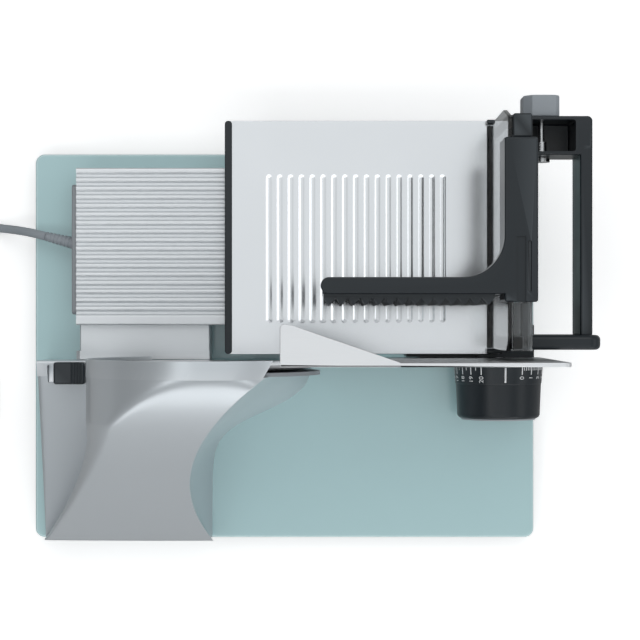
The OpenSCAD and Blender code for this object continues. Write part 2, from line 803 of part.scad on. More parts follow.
module thickness_knob() {
    color(BLACK) placed() turned_y([knob_x, knob_z]) polygon([
        [knob_bore, -knob_y1], [knob_r - 0.6, -knob_y1], [knob_r, -knob_y1 + 0.6],
        [knob_r - 1.1, -knob_y1 + 14], [knob_r - 1.6, -knob_y1 + 14.5],
        [knob_r - 2.6, -knob_y0 - 4.5], [knob_r - 3.6, -knob_y0 - 2.2],
        [knob_r - 5.6, -knob_y0 - 1], [knob_r - 5.6, -knob_y1 + 4], [knob_bore, -knob_y1 + 4]
    ]);
}

module knob_cap() {
    color(GREY) placed() turned_y([knob_x, knob_z]) polygon([
        [0, -knob_y0 - 4], [knob_r - 5.65, -knob_y0 - 4], [knob_r - 5.65, -knob_y0 - 0.9],
        [knob_r - 12, -knob_y0 - 0.2], [0, -knob_y0]
    ]);
}

module knob_nut() {
    color(BRASS) placed() difference() {
        union() {
            bar_y([knob_x, knob_z], knob_y1 - 9, knob_y1 - 6, knob_r - 5.65);
            bar_y([knob_x, knob_z], knob_y1 - 14, knob_y1 - 9, 11);
        }
        bar_y([knob_x, knob_z], knob_y1 - 15, knob_y1, spindle_d / 2 + fit);
    }
}

// ---------- food carriage ----------

module carriage_plate() {
    color(STEEL) placed() {
        block([plate_x0, plate_y0, plate_z], [plate_x1, plate_y1, plate_top]);
        for (i = [0:rib_count - 1])
            translate([rib_x0 + i * rib_pitch, rib_y0, plate_top - 0.4]) {
                rotate([-90, 0, 0]) cylinder(h = rib_y1 - rib_y0, r = rib_r, $fn = 24);
                for (y = [0, rib_y1 - rib_y0]) translate([0, y, 0]) sphere(rib_r, $fn = 24);
            }
    }
}

module plate_edge_strip() {
    color(BLACK) placed() difference() {
        union() {
            block([plate_x0 - 2, plate_y0 + 2, plate_z - 1.6],
                  [plate_x0 + 3.4, plate_y1 - 2, plate_top + 1.2]);
            for (y = [plate_y0 + 2, plate_y1 - 2])
                translate([plate_x0 + 0.7, y, plate_z - 1.6])
                    cylinder(h = plate_t + 2.8, r = 2);
        }
        block([plate_x0, plate_y0 - 1, plate_z], [plate_x0 + 6, plate_y1 + 1, plate_top]);
    }
}

module carriage_arm() {
    arm_x0 = block_x0 + 6;
    arm_x1 = block_x1 - 6;
    color(GREY) placed() {
        block([arm_x0, bed_y1 + 3.4, plate_z - 4], [arm_x1, plate_y1 - 3, plate_z]);
        block([arm_x0, bed_y1 + 3.4, slot_z0 + 2], [arm_x1, bed_y1 + 10, plate_z - 4]);
        block([arm_x0, block_y[1], slot_z0 + 2], [arm_x1, bed_y1 + 3.4, slot_z1 - 2]);
    }
}

module slide_block() {
    color(BLACK) placed() difference() {
        block([block_x0, block_y[0], rod_z - 8], [block_x1, block_y[1], rod_z + 8]);
        for (y = rod_y)
            translate([block_x0 - 1, y, rod_z]) rotate([0, 90, 0])
                cylinder(h = block_l + 2, r = rod_d / 2 + fit);
    }
}

module glide_pads() {
    color(BLACK) placed()
        for (x = [block_x0 - 12, block_x1 - 18], i = [0, groove_count - 2])
            translate([x, first_groove - (i + 0.5) * groove_pitch - 1.9, bed_z + body_gap])
                cube([20, 3.8, plate_gap - body_gap]);
}

module thumb_guard() {
    color(CLEAR, 0.5) placed() {
        translate([guard_x0, 0, 0]) rotate([90, 0, 90]) linear_extrude(guard_t) polygon([
            [plate_y0 + 4.2, plate_top], [plate_y1 - 3.2, plate_top], [plate_y1 - 3.2, guard_z - 30],
            [plate_y1 - 9.4, guard_z - 6], [plate_y1 - 12, guard_z], [plate_y0 + 12, guard_z],
            [plate_y0 + 4.2, guard_z - 12]
        ]);
        block([guard_x0 - 2.5, plate_y0 + 4.2, plate_top], [guard_x0, plate_y1 - 3.2, plate_top + 2]);
        block([guard_x1, plate_y0 + 4.2, plate_top], [plate_x1 - 0.3, plate_y1 - 3.2, plate_top + 2]);
    }
}

module guard_clips() {
    color(BLACK) placed()
        for (y = [plate_y0 + 0.5, plate_y1 - 3])
            block([guard_x0 - 3, y, plate_top], [plate_x1 + 1.5, y + (y < 50 ? 3.5 : 3), plate_top + 8]);
}

module pusher_rail() {
    color(CLEAR) placed() difference() {
        block([rail_x0 - 0.3, rail_y0, rail_z0], [rail_x1, cap_y0, rail_z1]);
        block([rail_x0 - 1, rail_y0 - 1, rail_z0 - 1], [guard_x1, cap_y0 + 1, rail_z1 + 1]);
        block([rail_x1 - 2.5, rail_y0 - 1, rail_z0 + 4], [rail_x1 + 1, cap_y0 + 1, rail_z1 - 4]);
    }
}

module rail_end_cap() {
    color(BLACK) placed() difference() {
        block([rail_x0 - 0.3, cap_y0, rail_z0], [rail_x1, rail_y1, rail_z1]);
        block([rail_x0 + 2, cap_y0 + 3, rail_z0 - 1], [rail_x1 - 2, rail_y1 - 3, rail_z1 - 3]);
    }
}

module carriage_handle() {
    color(BLACK) placed() difference() {
        union() {
            block([guard_x1, shield_y0, plate_top + 12], [spine_x1, far_y1, handle_z0]);
            for (y = [shield_y0, far_y1 - 14])
                block([guard_x1, y, plate_top + 12], [spine_x1 - 1, y + 10, rail_z0]);
            slab_y(shield_y0, shield_y1)
                exact_round([guard_x1 + 2, shield_z0], [shield_x1, shield_z1], 5);
            block([spine_x1 - 1, shield_y0, shield_z0], [spine_x1 + 7, shield_y0 + 33.5, shield_z1]);
            translate([0, 0, handle_z0]) linear_extrude(handle_z1 - handle_z0) {
                exact_round([guard_x1 + 2, far_y0], [bar_x1, far_y1], 5);
                translate([bar_x0, shield_y1 - 1]) square([bar_x1 - bar_x0, far_y0 - shield_y1 + 8]);
            }
        }
        block([spine_x1 + 3, far_y0 + 2.5, handle_z0 + 3],
              [bar_x0 - 3, far_y1 - 2.5, handle_z1 + 1]);
        bar_y([lock_x, lock_z], far_y0 - 1, far_y1 + 1, 2 + fit);
        for (y = [shield_y0 + 5, far_y1 - 9])
            translate([guard_x1 - 1, y, plate_top + 20]) rotate([0, 90, 0])
                cylinder(h = 12, r = 2.05);
    }
}

module handle_screws() {
    color(STEEL) placed()
        for (y = [shield_y0 + 5, far_y1 - 9])
            translate([guard_x1, y, plate_top + 20]) rotate([0, 90, 0]) {
                cylinder(h = 9.1, r = 2);
                translate([0, 0, 9.1]) cylinder(h = 2.4, r = 3.8);
            }
}

module lock_knob() {
    color(GREY) placed() difference() {
        slab_y(far_y1 + 0.6, lock_y1) polygon([
            [lock_x - 14, lock_z - 10], [lock_x - 11, lock_z - 13],
            [lock_x + 8.6, lock_z - 13], [lock_x + 11.6, lock_z - 10],
            [lock_x + 11.6, lock_z + 10], [lock_x + 8.6, lock_z + 13],
            [lock_x - 8, lock_z + 13], [lock_x - 14, lock_z + 7]
        ]);
        bar_y([lock_x, lock_z], far_y1, lock_y1 - 4, 2 + fit);
    }
}

module lock_shaft() {
    color(STEEL) placed() {
        bar_y([lock_x, lock_z], far_y0 - 3.4, lock_y1 - 4.2, 2);
        bar_y([lock_x, lock_z], far_y0 + 3, far_y0 + 11, 3.7);
        bar_y([lock_x, lock_z], far_y0 - 3.4, far_y0 - 0.6, 6);
    }
}

// ---------- food pusher ----------

fillet_r = 28;

module pusher_body() {
    color(BLACK) placed() difference() {
        union() {
            block([mount_x0, mount_y0, mount_z0], [mount_x1, mount_y1, mount_z1]);
            block([arm_x0 + 5, arm_y0, mount_z1 - 12], [mount_x0 + 1, arm_y1, mount_z1]);
            translate([arm_x0 + 5.65, arm_y0 + 5.65, mount_z1 - 12]) cylinder(h = 12, r = 5.65);
            block([arm_x0 + 3, arm_y0, arm_z0], [mount_x0, arm_y0 + 3, mount_z1 - 4]);
            difference() {
                block([mount_x0 - fillet_r, arm_y1 - 0.1, mount_z1 - 12],
                      [mount_x0 + 0.1, arm_y1 + fillet_r, mount_z1]);
                translate([mount_x0 - fillet_r, arm_y1 + fillet_r, mount_z1 - 13])
                    cylinder(h = 14, r = fillet_r, $fn = 64);
            }
        }
        block([guard_x0 - 0.4, mount_y0 - 1, mount_z0 - 1],
              [rail_x1 + body_gap, mount_y1 + 1, rail_z1 + body_gap]);
        block([mount_x1 - 7, mount_y0 + 7, mount_z1 - 2], [mount_x1 - 4.5, mount_y0 + 41, mount_z1 + 1]);
    }
}

module spike_comb(z) {
    n = 14;
    pitch = 8.2;
    translate([0, 0, z]) linear_extrude(2) polygon(concat(
        [[arm_x0 + 4, arm_y0], [arm_x0 + 4, arm_y0 - 2.5]],
        [for (i = [0:n - 1], k = [0, 1])
            [arm_x0 + 4 + pitch * (i + k / 2), arm_y0 - (k == 0 ? 2.5 : spike_l)]],
        [[arm_x0 + 4 + pitch * n, arm_y0 - 2.5], [arm_x0 + 4 + pitch * n, arm_y0]]));
}

module pusher_spikes() {
    color(BLACK) placed() {
        for (z = [arm_z0 + 3:19:mount_z1 - 5]) spike_comb(z);
        block([arm_x0 + 4, arm_y0 - 2.5, arm_z0 + 3], [arm_x0 + 118.8, arm_y0, mount_z1 - 5]);
    }
}

module power_switch_slider() {
    color(BLACK) placed() {
        block([switch_x0 + 6.2, -17.6, ledge_z + 0.5], [switch_x1 - 3.4, -1.2, ledge_z + 11]);
        block([switch_x0 + 7, -15.5, ledge_z - 6.4], [switch_x1 - 4.5, -4.5, ledge_z + 0.5]);
        block([switch_x0 + 14, -11.5, ledge_z - 12.2], [switch_x1 - 11, -8.5, ledge_z - 6.4]);
    }
}

// ---------- fasteners and cord ----------

module base_screws() {
    color(STEEL) placed()
        for (p = concat(bed_screws, shell_screws)) translate([p[0], p[1], 0]) {
            translate([0, 0, foot_h - 3]) cylinder(h = 3, r = 4.6);
            translate([0, 0, foot_h]) cylinder(h = glass_t + boss_h - 2, r = screw_r);
        }
}

// Unit frame across a direction, for the rings of a swept tube
function unit(v) = v / norm(v);
function along(p, i) =
    unit(p[min(i + 1, len(p) - 1)] - p[max(i - 1, 0)]);
function ring(c, t, r, n) =
    let (s = unit(cross(t, [0, 0, 1])), u = cross(s, t))
        [for (j = [0:n - 1]) c + r * (cos(360 * j / n) * s + sin(360 * j / n) * u)];
module tube(p, r, n) {
    loft([for (i = [0:len(p) - 1]) ring(p[i], along(p, i), r, n)], [p[0], p[len(p) - 1]]);
}

module cord_strain_relief() {
    tilt = [0, 90 + asin(-relief_dir[2]), atan2(relief_dir[1], relief_dir[0])];
    color(GREY) placed() {
        translate(gland) rotate(tilt) cylinder(h = relief_l, r1 = 4.7, r2 = 3.7);
        translate(gland) rotate([0, 90, 0]) cylinder(h = 9, r = 5.4);
    }
}

module power_cord() {
    color(GREY) placed() tube(cord_route, cord_d / 2, 10);
}

module cord_coil() {
    color(GREY) placed() translate([coil_centre[0], coil_centre[1], 0]) rotate_extrude($fn = 64)
        translate([coil_r - cord_d, 0.1]) square([2 * cord_d, 2 * cord_d]);
}

module cord_tail() {
    color(GREY) placed() tube(tail_route, cord_d / 2, 10);
}

module mains_plug() {
    color(BLACK) placed() translate(plug_at) {
        rotate([90, 0, 0]) cylinder(h = 14, r1 = 4.4, r2 = 6.6);
        translate([-13, -45, -7.2]) cube([26, 31, 14.4]);
        for (x = [-9.5, 9.5]) translate([x, -45, 0]) rotate([90, 0, 0]) cylinder(h = 19, r = 2);
    }
}

glass_plate();
rubber_feet();
slide_bed();
bed_end_cover();
guide_rods();
blade_bridge();
motor_housing();
housing_floor_plate();
blade_backing_plate();
backing_screws();
gear_chassis();
shaft_bushes();
motor_stator();
motor_end_plates();
motor_cradle();
switch_body();
terminal_block();
stop_carrier();
carrier_bushes();
thickness_spindle();
base_screws();
cord_strain_relief();
power_cord();
cord_coil();
cord_tail();
mains_plug();
blade();
blade_hub();
blade_screws();
main_gear();
counter_shaft();
counter_gear();
counter_pinion();
motor_rotor();
motor_pinion();
cooling_fan();
stop_plate();
stop_guide_pins();
knob_bearing_hub();
thickness_knob();
knob_cap();
knob_nut();
carriage_plate();
plate_edge_strip();
carriage_arm();
slide_block();
glide_pads();
thumb_guard();
guard_clips();
pusher_rail();
rail_end_cap();
carriage_handle();
handle_screws();
lock_knob();
lock_shaft();
pusher_body();
pusher_spikes();
power_switch_slider();
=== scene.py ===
"""Looks of an electric food slicer, built round its construction model.

Each sub-assembly is a class. Its sizes are dataclass fields in millimetres, measured from the
blade's axis (x), the cutting plane (y) and the table (z); Datum turns them into metres in the
shared frame.
"""

import json
import logging
import math
from collections.abc import Callable
from dataclasses import dataclass, field
from enum import Enum

import bmesh
import bpy
import numpy as np
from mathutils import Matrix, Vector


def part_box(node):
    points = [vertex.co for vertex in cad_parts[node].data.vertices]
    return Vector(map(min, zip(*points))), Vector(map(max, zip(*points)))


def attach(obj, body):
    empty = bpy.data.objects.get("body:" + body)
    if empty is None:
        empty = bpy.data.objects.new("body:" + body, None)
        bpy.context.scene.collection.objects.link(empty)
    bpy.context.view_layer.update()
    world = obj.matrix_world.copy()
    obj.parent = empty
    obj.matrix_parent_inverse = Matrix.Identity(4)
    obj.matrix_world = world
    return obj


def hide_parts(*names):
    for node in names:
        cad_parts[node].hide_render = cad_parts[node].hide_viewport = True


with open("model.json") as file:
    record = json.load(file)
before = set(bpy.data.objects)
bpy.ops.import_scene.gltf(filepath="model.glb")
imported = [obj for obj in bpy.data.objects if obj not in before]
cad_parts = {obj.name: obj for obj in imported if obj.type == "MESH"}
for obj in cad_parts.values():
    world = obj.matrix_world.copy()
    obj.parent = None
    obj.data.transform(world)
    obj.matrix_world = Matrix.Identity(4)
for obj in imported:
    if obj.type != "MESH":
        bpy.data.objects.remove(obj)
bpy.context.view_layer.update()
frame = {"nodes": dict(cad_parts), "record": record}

logging.basicConfig(level=logging.INFO, format="%(name)s: %(message)s")
LOG = logging.getLogger("slicer")
MM = 0.001
MERGE = 0.002
FLAT_POINTINESS = 0.52
GRAIN_DEPTH = 0.00002
PATCH_RANGE = (0.3, 0.7)

Tree = bpy.types.NodeTree
Socket = bpy.types.NodeSocket


class Axis(Enum):
    """The axis that a prism or a turned piece runs along."""

    X = 0
    Y = 1
    Z = 2


@dataclass(frozen=True)
class Datum:
    """Where the blade's axis and its cutting plane lie in the frame, in metres."""

    x: float
    y: float

    def place(self, points: np.ndarray) -> np.ndarray:
        """Turns millimetres about the blade into metres in the frame.

        Args:
            points: array whose last axis is x, y, z in millimetres.

        Returns:
            The same array in metres.
        """
        return np.asarray(points, dtype=float) * MM + np.array([self.x, self.y, 0.0])

    def box(self, node: str) -> tuple[np.ndarray, np.ndarray]:
        """Reads the box of a construction node.

        Args:
            node: the node's name.

        Returns:
            Its lowest and its highest corner, in millimetres about the blade.
        """
        low, high = (np.array(corner, dtype=float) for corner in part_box(node))
        shift = np.array([self.x, self.y, 0.0])
        return (low - shift) / MM, (high - shift) / MM

    def middle(self, node: str) -> np.ndarray:
        """The middle of a construction node's box, in millimetres about the blade."""
        low, high = self.box(node)
        return (low + high) / 2


def blade_datum() -> Datum:
    """Reads the datum from the blade: the middle of its width and its foremost plane."""
    low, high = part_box("blade")
    return Datum(x=(low[0] + high[0]) / 2, y=high[1])


DATUM = blade_datum()


# ---------------------------------------------------------------------------------------------
# Surfaces
# ---------------------------------------------------------------------------------------------


@dataclass
class Surface:
    """Points and faces of one mesh, in millimetres about the blade."""

    points: np.ndarray
    faces: list = field(default_factory=list)

    def joined(self, *others: "Surface") -> "Surface":
        """Puts this surface and others into one mesh.

        Args:
            others: the other surfaces.

        Returns:
            The mesh of them all.
        """
        points, faces, start = [self.points], list(self.faces), len(self.points)
        for other in others:
            points.append(other.points)
            faces.extend([tuple(i + start for i in face) for face in other.faces])
            start += len(other.points)
        return Surface(np.concatenate(points), faces)


def grid(points: np.ndarray, close_rows: bool = False, close_columns: bool = False,
         cap_ends: bool = False) -> Surface:
    """Makes quads between neighbouring points of a rows by columns grid.

    Args:
        points: array of rows, columns, 3.
        close_rows: joins the last row to the first.
        close_columns: joins the last column to the first.
        cap_ends: closes the first and the last row with one face each.

    Returns:
        The surface.
    """
    rows, columns = points.shape[:2]
    index = np.arange(rows * columns).reshape(rows, columns)
    if close_rows:
        index = np.vstack([index, index[:1]])
    if close_columns:
        index = np.hstack([index, index[:, :1]])
    quads = np.stack([index[:-1, :-1], index[:-1, 1:], index[1:, 1:], index[1:, :-1]], axis=-1)
    faces = [tuple(q) for q in quads.reshape(-1, 4).tolist()]
    if cap_ends:
        faces.append(tuple(range(columns))[::-1])
        faces.append(tuple(range((rows - 1) * columns, rows * columns)))
    return Surface(points.reshape(-1, 3), faces)


def oriented(flat: np.ndarray, height: np.ndarray, axis: Axis) -> np.ndarray:
    """Puts two flat coordinates and a height along an axis into x, y, z order.

    Args:
        flat: array whose last axis holds the two flat coordinates.
        height: heights along the axis, for each point or for all.
        axis: the axis that the heights run along.

    Returns:
        Array whose last axis is x, y, z.
    """
    first, second = flat[..., 0], flat[..., 1]
    order = {Axis.X: (height, first, second), Axis.Y: (first, height, second),
             Axis.Z: (first, second, height)}
    return np.stack([np.broadcast_to(part, first.shape) for part in order[axis]], axis=-1)


def rounded_outline(corners: list, radii: float | list, steps: int = 7) -> np.ndarray:
    """Rounds the corners of a closed flat outline with arcs.

    Each arc touches both sides of its corner: it starts r * tan(turn / 2) before the corner, and
    its points turn evenly about the centre that lies on the corner's bisector.

    Args:
        corners: the outline's corners in order.
        radii: one radius, or one for each corner; 0 keeps a corner sharp.
        steps: points of each arc.

    Returns:
        The outline's points.
    """
    pts = np.array(corners, dtype=float)
    radii = np.broadcast_to(np.array(radii, dtype=float), len(pts))
    out = []
    for here, before, after, radius in zip(pts, np.roll(pts, 1, 0), np.roll(pts, -1, 0), radii):
        a, b = before - here, after - here
        la, lb = np.linalg.norm(a), np.linalg.norm(b)
        a, b = a / la, b / lb
        angle = math.acos(float(np.clip(a @ b, -1, 1)))
        if radius <= 0 or angle > math.pi - 0.02:
            out.append(np.repeat(here[None], steps if radius > 0 else 1, axis=0))
            continue
        reach = min(radius / math.tan(angle / 2), 0.49 * la, 0.49 * lb)
        true_radius = reach * math.tan(angle / 2)
        middle = (a + b) / np.linalg.norm(a + b)
        centre = here + middle * true_radius / math.sin(angle / 2)
        start, stop = here + a * reach - centre, here + b * reach - centre
        first = math.atan2(start[1], start[0])
        turn = (math.atan2(stop[1], stop[0]) - first + math.pi) % (2 * math.pi) - math.pi
        t = first + turn * np.linspace(0, 1, steps)
        out.append(centre + true_radius * np.stack([np.cos(t), np.sin(t)], axis=1))
    return np.concatenate(out)


def prism(outline: np.ndarray, low: float, high: float, axis: Axis = Axis.Z) -> Surface:
    """Makes a flat outline thick along an axis.

    Args:
        outline: the outline's points.
        low: lower height.
        high: upper height.
        axis: the prism's axis.

    Returns:
        The closed surface.
    """
    heights = np.array([low, high])[:, None] * np.ones(len(outline))
    flat = np.broadcast_to(outline, (2,) + outline.shape)
    return grid(oriented(flat, heights, axis), close_columns=True, cap_ends=True)


def edged_prism(outline_of: Callable[[float], np.ndarray], low: float, high: float,
                edge: float, axis: Axis = Axis.Z, steps: int = 4, land: float = 0.0) -> Surface:
    """A prism whose two rims are rounded by insetting its outline along a quarter circle.

    At a depth of edge * (1 - cos t) from a rim the outline is inset by edge * (1 - sin t), for t
    from 0 to a quarter turn.

    Args:
        outline_of: function from an inset to the outline's points.
        low: lower height.
        high: upper height.
        edge: radius of both rims.
        axis: the prism's axis.
        steps: rings in each rim.
        land: width of one more ring on each flat face, none if 0.

    Returns:
        The closed surface.
    """
    t = np.linspace(0, math.pi / 2, steps)
    inward, depth = edge * (1 - np.sin(t)), edge * (1 - np.cos(t))
    if land:
        inward, depth = np.append(edge + land, inward), np.append(0, depth)
    insets = np.concatenate([inward, inward[::-1]])
    heights = np.concatenate([low + depth, high - depth[::-1]])
    rings = [oriented(outline_of(i), h, axis) for i, h in zip(insets, heights)]
    return grid(np.array(rings), close_columns=True, cap_ends=True)


def box_outline(a: tuple, b: tuple, radius: float,
                steps: int = 6) -> Callable[[float], np.ndarray]:
    """Describes a rectangle with round corners, for edged_prism.

    Args:
        a: its lowest corner.
        b: its highest corner.
        radius: radius of its corners.
        steps: points of each corner.

    Returns:
        A function from an inset to the outline's points.
    """
    def outline(step: float) -> np.ndarray:
        """The rectangle moved in by a step."""
        x0, y0, x1, y1 = a[0] + step, a[1] + step, b[0] - step, b[1] - step
        return rounded_outline([(x0, y0), (x1, y0), (x1, y1), (x0, y1)],
                               max(radius - step, 0.05), steps)
    return outline


def soft_block(low: tuple, high: tuple, edge: float, corner: float | None = None,
               axis: Axis = Axis.Z) -> Surface:
    """A moulded block: a rounded rectangle along an axis, with rounded rims.

    Args:
        low: lowest corner.
        high: highest corner.
        edge: radius of the rims.
        corner: radius of the upright corners, the rim's own if None.
        axis: the axis of the upright corners.

    Returns:
        The closed surface.
    """
    flat = [i for i in range(3) if i != axis.value]
    a, b = [low[i] for i in flat], [high[i] for i in flat]
    outline = box_outline(a, b, edge if corner is None else corner)
    return edged_prism(outline, low[axis.value], high[axis.value], edge, axis)


def turned(profile: np.ndarray, centre: tuple, axis: Axis = Axis.Y, steps: int = 72,
           arc: tuple = (0.0, 360.0)) -> Surface:
    """A profile of radius and height carried round an axis.

    Args:
        profile: points of radius and height; radius 0 at an end makes a pole.
        centre: the axis' place in the two other coordinates.
        axis: the axis.
        steps: points round a full turn.
        arc: first and last angle in degrees.

    Returns:
        The surface, closed when the arc is a full turn.
    """
    full = arc[1] - arc[0] >= 360
    t = np.radians(np.linspace(arc[0], arc[1], steps, endpoint=not full))
    flat = profile[:, None, 0, None] * np.stack([np.cos(t), np.sin(t)], axis=-1) + np.array(centre)
    points = oriented(flat, np.repeat(profile[:, 1:], len(t), axis=1), axis)
    if full:
        return grid(points, close_columns=True, cap_ends=True)
    return grid(points.transpose(1, 0, 2), close_columns=True, cap_ends=True)


def inset(outline: np.ndarray, distance: float) -> np.ndarray:
    """Moves a closed outline inwards.

    Each point goes along the mean of its two sides' normals, by the distance over the cosine of
    half the turn.

    Args:
        outline: the outline's points.
        distance: how far its sides move.

    Returns:
        The new points.
    """
    before = outline - np.roll(outline, 1, 0)
    after = np.roll(outline, -1, 0) - outline
    before /= np.linalg.norm(before, axis=1, keepdims=True) + 1e-9
    after /= np.linalg.norm(after, axis=1, keepdims=True) + 1e-9
    x, y = outline.T
    turn = np.sign(np.sum(x * np.roll(y, -1) - np.roll(x, -1) * y))
    mean = before + after
    mean /= np.linalg.norm(mean, axis=1, keepdims=True)
    normal = turn * np.stack([-mean[:, 1], mean[:, 0]], axis=1)
    half = np.clip(np.sum(mean * after, axis=1), 0.5, 1)
    return outline + normal * (distance / half)[:, None]


def plate(outline: np.ndarray, low: float, high: float, edge: float, axis: Axis = Axis.Z,
          steps: int = 4) -> Surface:
    """A plate of any outline with rounded rims."""
    return edged_prism(lambda d: inset(outline, d), low, high, edge, axis, steps)


def swept(path: np.ndarray, radius: np.ndarray | float, sides: int = 16) -> Surface:
    """Makes a round tube: each ring lies across the path's direction at its point.

    Args:
        path: points of the centreline.
        radius: one radius, or one for each point.
        sides: points of each ring.

    Returns:
        The closed surface.
    """
    step = np.gradient(path, axis=0)
    along = step / np.linalg.norm(step, axis=1, keepdims=True)
    side = np.cross(along, [0.0, 0.0, 1.0])
    side /= np.linalg.norm(side, axis=1, keepdims=True)
    up = np.cross(side, along)
    t = np.linspace(0, 2 * math.pi, sides, endpoint=False)
    radii = np.broadcast_to(np.array(radius, dtype=float), len(path))[:, None, None]
    ring = np.cos(t)[:, None] * side[:, None] + np.sin(t)[:, None] * up[:, None]
    return grid(path[:, None] + radii * ring, close_columns=True, cap_ends=True)


# ---------------------------------------------------------------------------------------------
# Finishes
# ---------------------------------------------------------------------------------------------


def add_group(name: str, inputs: dict, outputs: dict) -> bpy.types.ShaderNodeTree:
    """Starts a shader node group.

    Args:
        name: the group's name.
        inputs: socket name to a default value; a tuple makes a vector socket.
        outputs: socket name to socket type.

    Returns:
        The group, with its input node named "in" and its output node named "out".
    """
    group = bpy.data.node_groups.new(name, "ShaderNodeTree")
    for label, value in inputs.items():
        kind = "NodeSocketVector" if isinstance(value, tuple) else "NodeSocketFloat"
        group.interface.new_socket(label, in_out="INPUT", socket_type=kind).default_value = value
    for label, kind in outputs.items():
        group.interface.new_socket(label, in_out="OUTPUT", socket_type=kind)
    group.nodes.new("NodeGroupInput").name = "in"
    group.nodes.new("NodeGroupOutput").name = "out"
    return group


def math_node(tree: Tree, operation: str, a: Socket | float, b: Socket | float,
              clamp: bool = False) -> Socket:
    """Adds a Math node on two sockets or numbers.

    Args:
        tree: the node tree.
        operation: the node's operation.
        a: first operand.
        b: second operand.
        clamp: keeps the result between 0 and 1.

    Returns:
        Its output.
    """
    node = tree.nodes.new("ShaderNodeMath")
    node.operation = operation
    node.use_clamp = clamp
    for slot, value in enumerate((a, b)):
        if isinstance(value, (int, float)):
            node.inputs[slot].default_value = value
        else:
            tree.links.new(value, node.inputs[slot])
    return node.outputs[0]


def noise_node(tree: Tree, vector: Socket, scale: Socket, detail: float,
               roughness: float = 0.5) -> Socket:
    """Adds a Noise Texture.

    Args:
        tree: the node tree.
        vector: the place to look the noise up at.
        scale: cells in a metre.
        detail: octaves.
        roughness: how much the finer octaves weigh.

    Returns:
        Its value, centred on 0.5.
    """
    node = tree.nodes.new("ShaderNodeTexNoise")
    node.inputs["Detail"].default_value = detail
    node.inputs["Roughness"].default_value = roughness
    tree.links.new(vector, node.inputs["Vector"])
    tree.links.new(scale, node.inputs["Scale"])
    return node.outputs["Fac"]


def surface_group() -> bpy.types.ShaderNodeTree:
    """Fine texture of a surface: grain stretched by a vector, with slow handling marks over it.

    Returns:
        The group: Height is the grain, Shade is half grain and half slow patches, and Gloss is the
        slow patches alone.
    """
    group = add_group(
        "surface_texture",
        {"Vector": (0.0, 0.0, 0.0), "Stretch": (1.0, 1.0, 1.0), "Grain Scale": 900.0,
         "Patch Scale": 14.0},
        {"Height": "NodeSocketFloat", "Shade": "NodeSocketFloat", "Gloss": "NodeSocketFloat"})
    nodes, links = group.nodes, group.links
    given, out = nodes["in"], nodes["out"]
    stretch = nodes.new("ShaderNodeVectorMath")
    stretch.operation = "MULTIPLY"
    links.new(given.outputs["Vector"], stretch.inputs[0])
    links.new(given.outputs["Stretch"], stretch.inputs[1])
    grain = noise_node(group, stretch.outputs[0], given.outputs["Grain Scale"], 3.0)
    patch = noise_node(group, given.outputs["Vector"], given.outputs["Patch Scale"], 4.0, 0.6)
    both = math_node(group, "ADD", math_node(group, "MULTIPLY", grain, 0.5),
                     math_node(group, "MULTIPLY", patch, 0.5))
    links.new(grain, out.inputs["Height"])
    links.new(both, out.inputs["Shade"])
    links.new(patch, out.inputs["Gloss"])
    return group


def edge_highlight_group() -> bpy.types.ShaderNodeTree:
    """Mask of sharp convex edges, where a painted highlight is laid.

    Returns:
        The group: Mask is 1 where the surface is convex and sharp, from its pointiness.
    """
    group = add_group("edge_highlight_mask", {"Gain": 8.0}, {"Mask": "NodeSocketFloat"})
    geometry = group.nodes.new("ShaderNodeNewGeometry")
    over = math_node(group, "SUBTRACT", geometry.outputs["Pointiness"], FLAT_POINTINESS)
    mask = math_node(group, "MULTIPLY", over, group.nodes["in"].outputs["Gain"], clamp=True)
    group.links.new(mask, group.nodes["out"].inputs["Mask"])
    return group


TEXTURE_GROUP = surface_group()
EDGE_HIGHLIGHT_GROUP = edge_highlight_group()


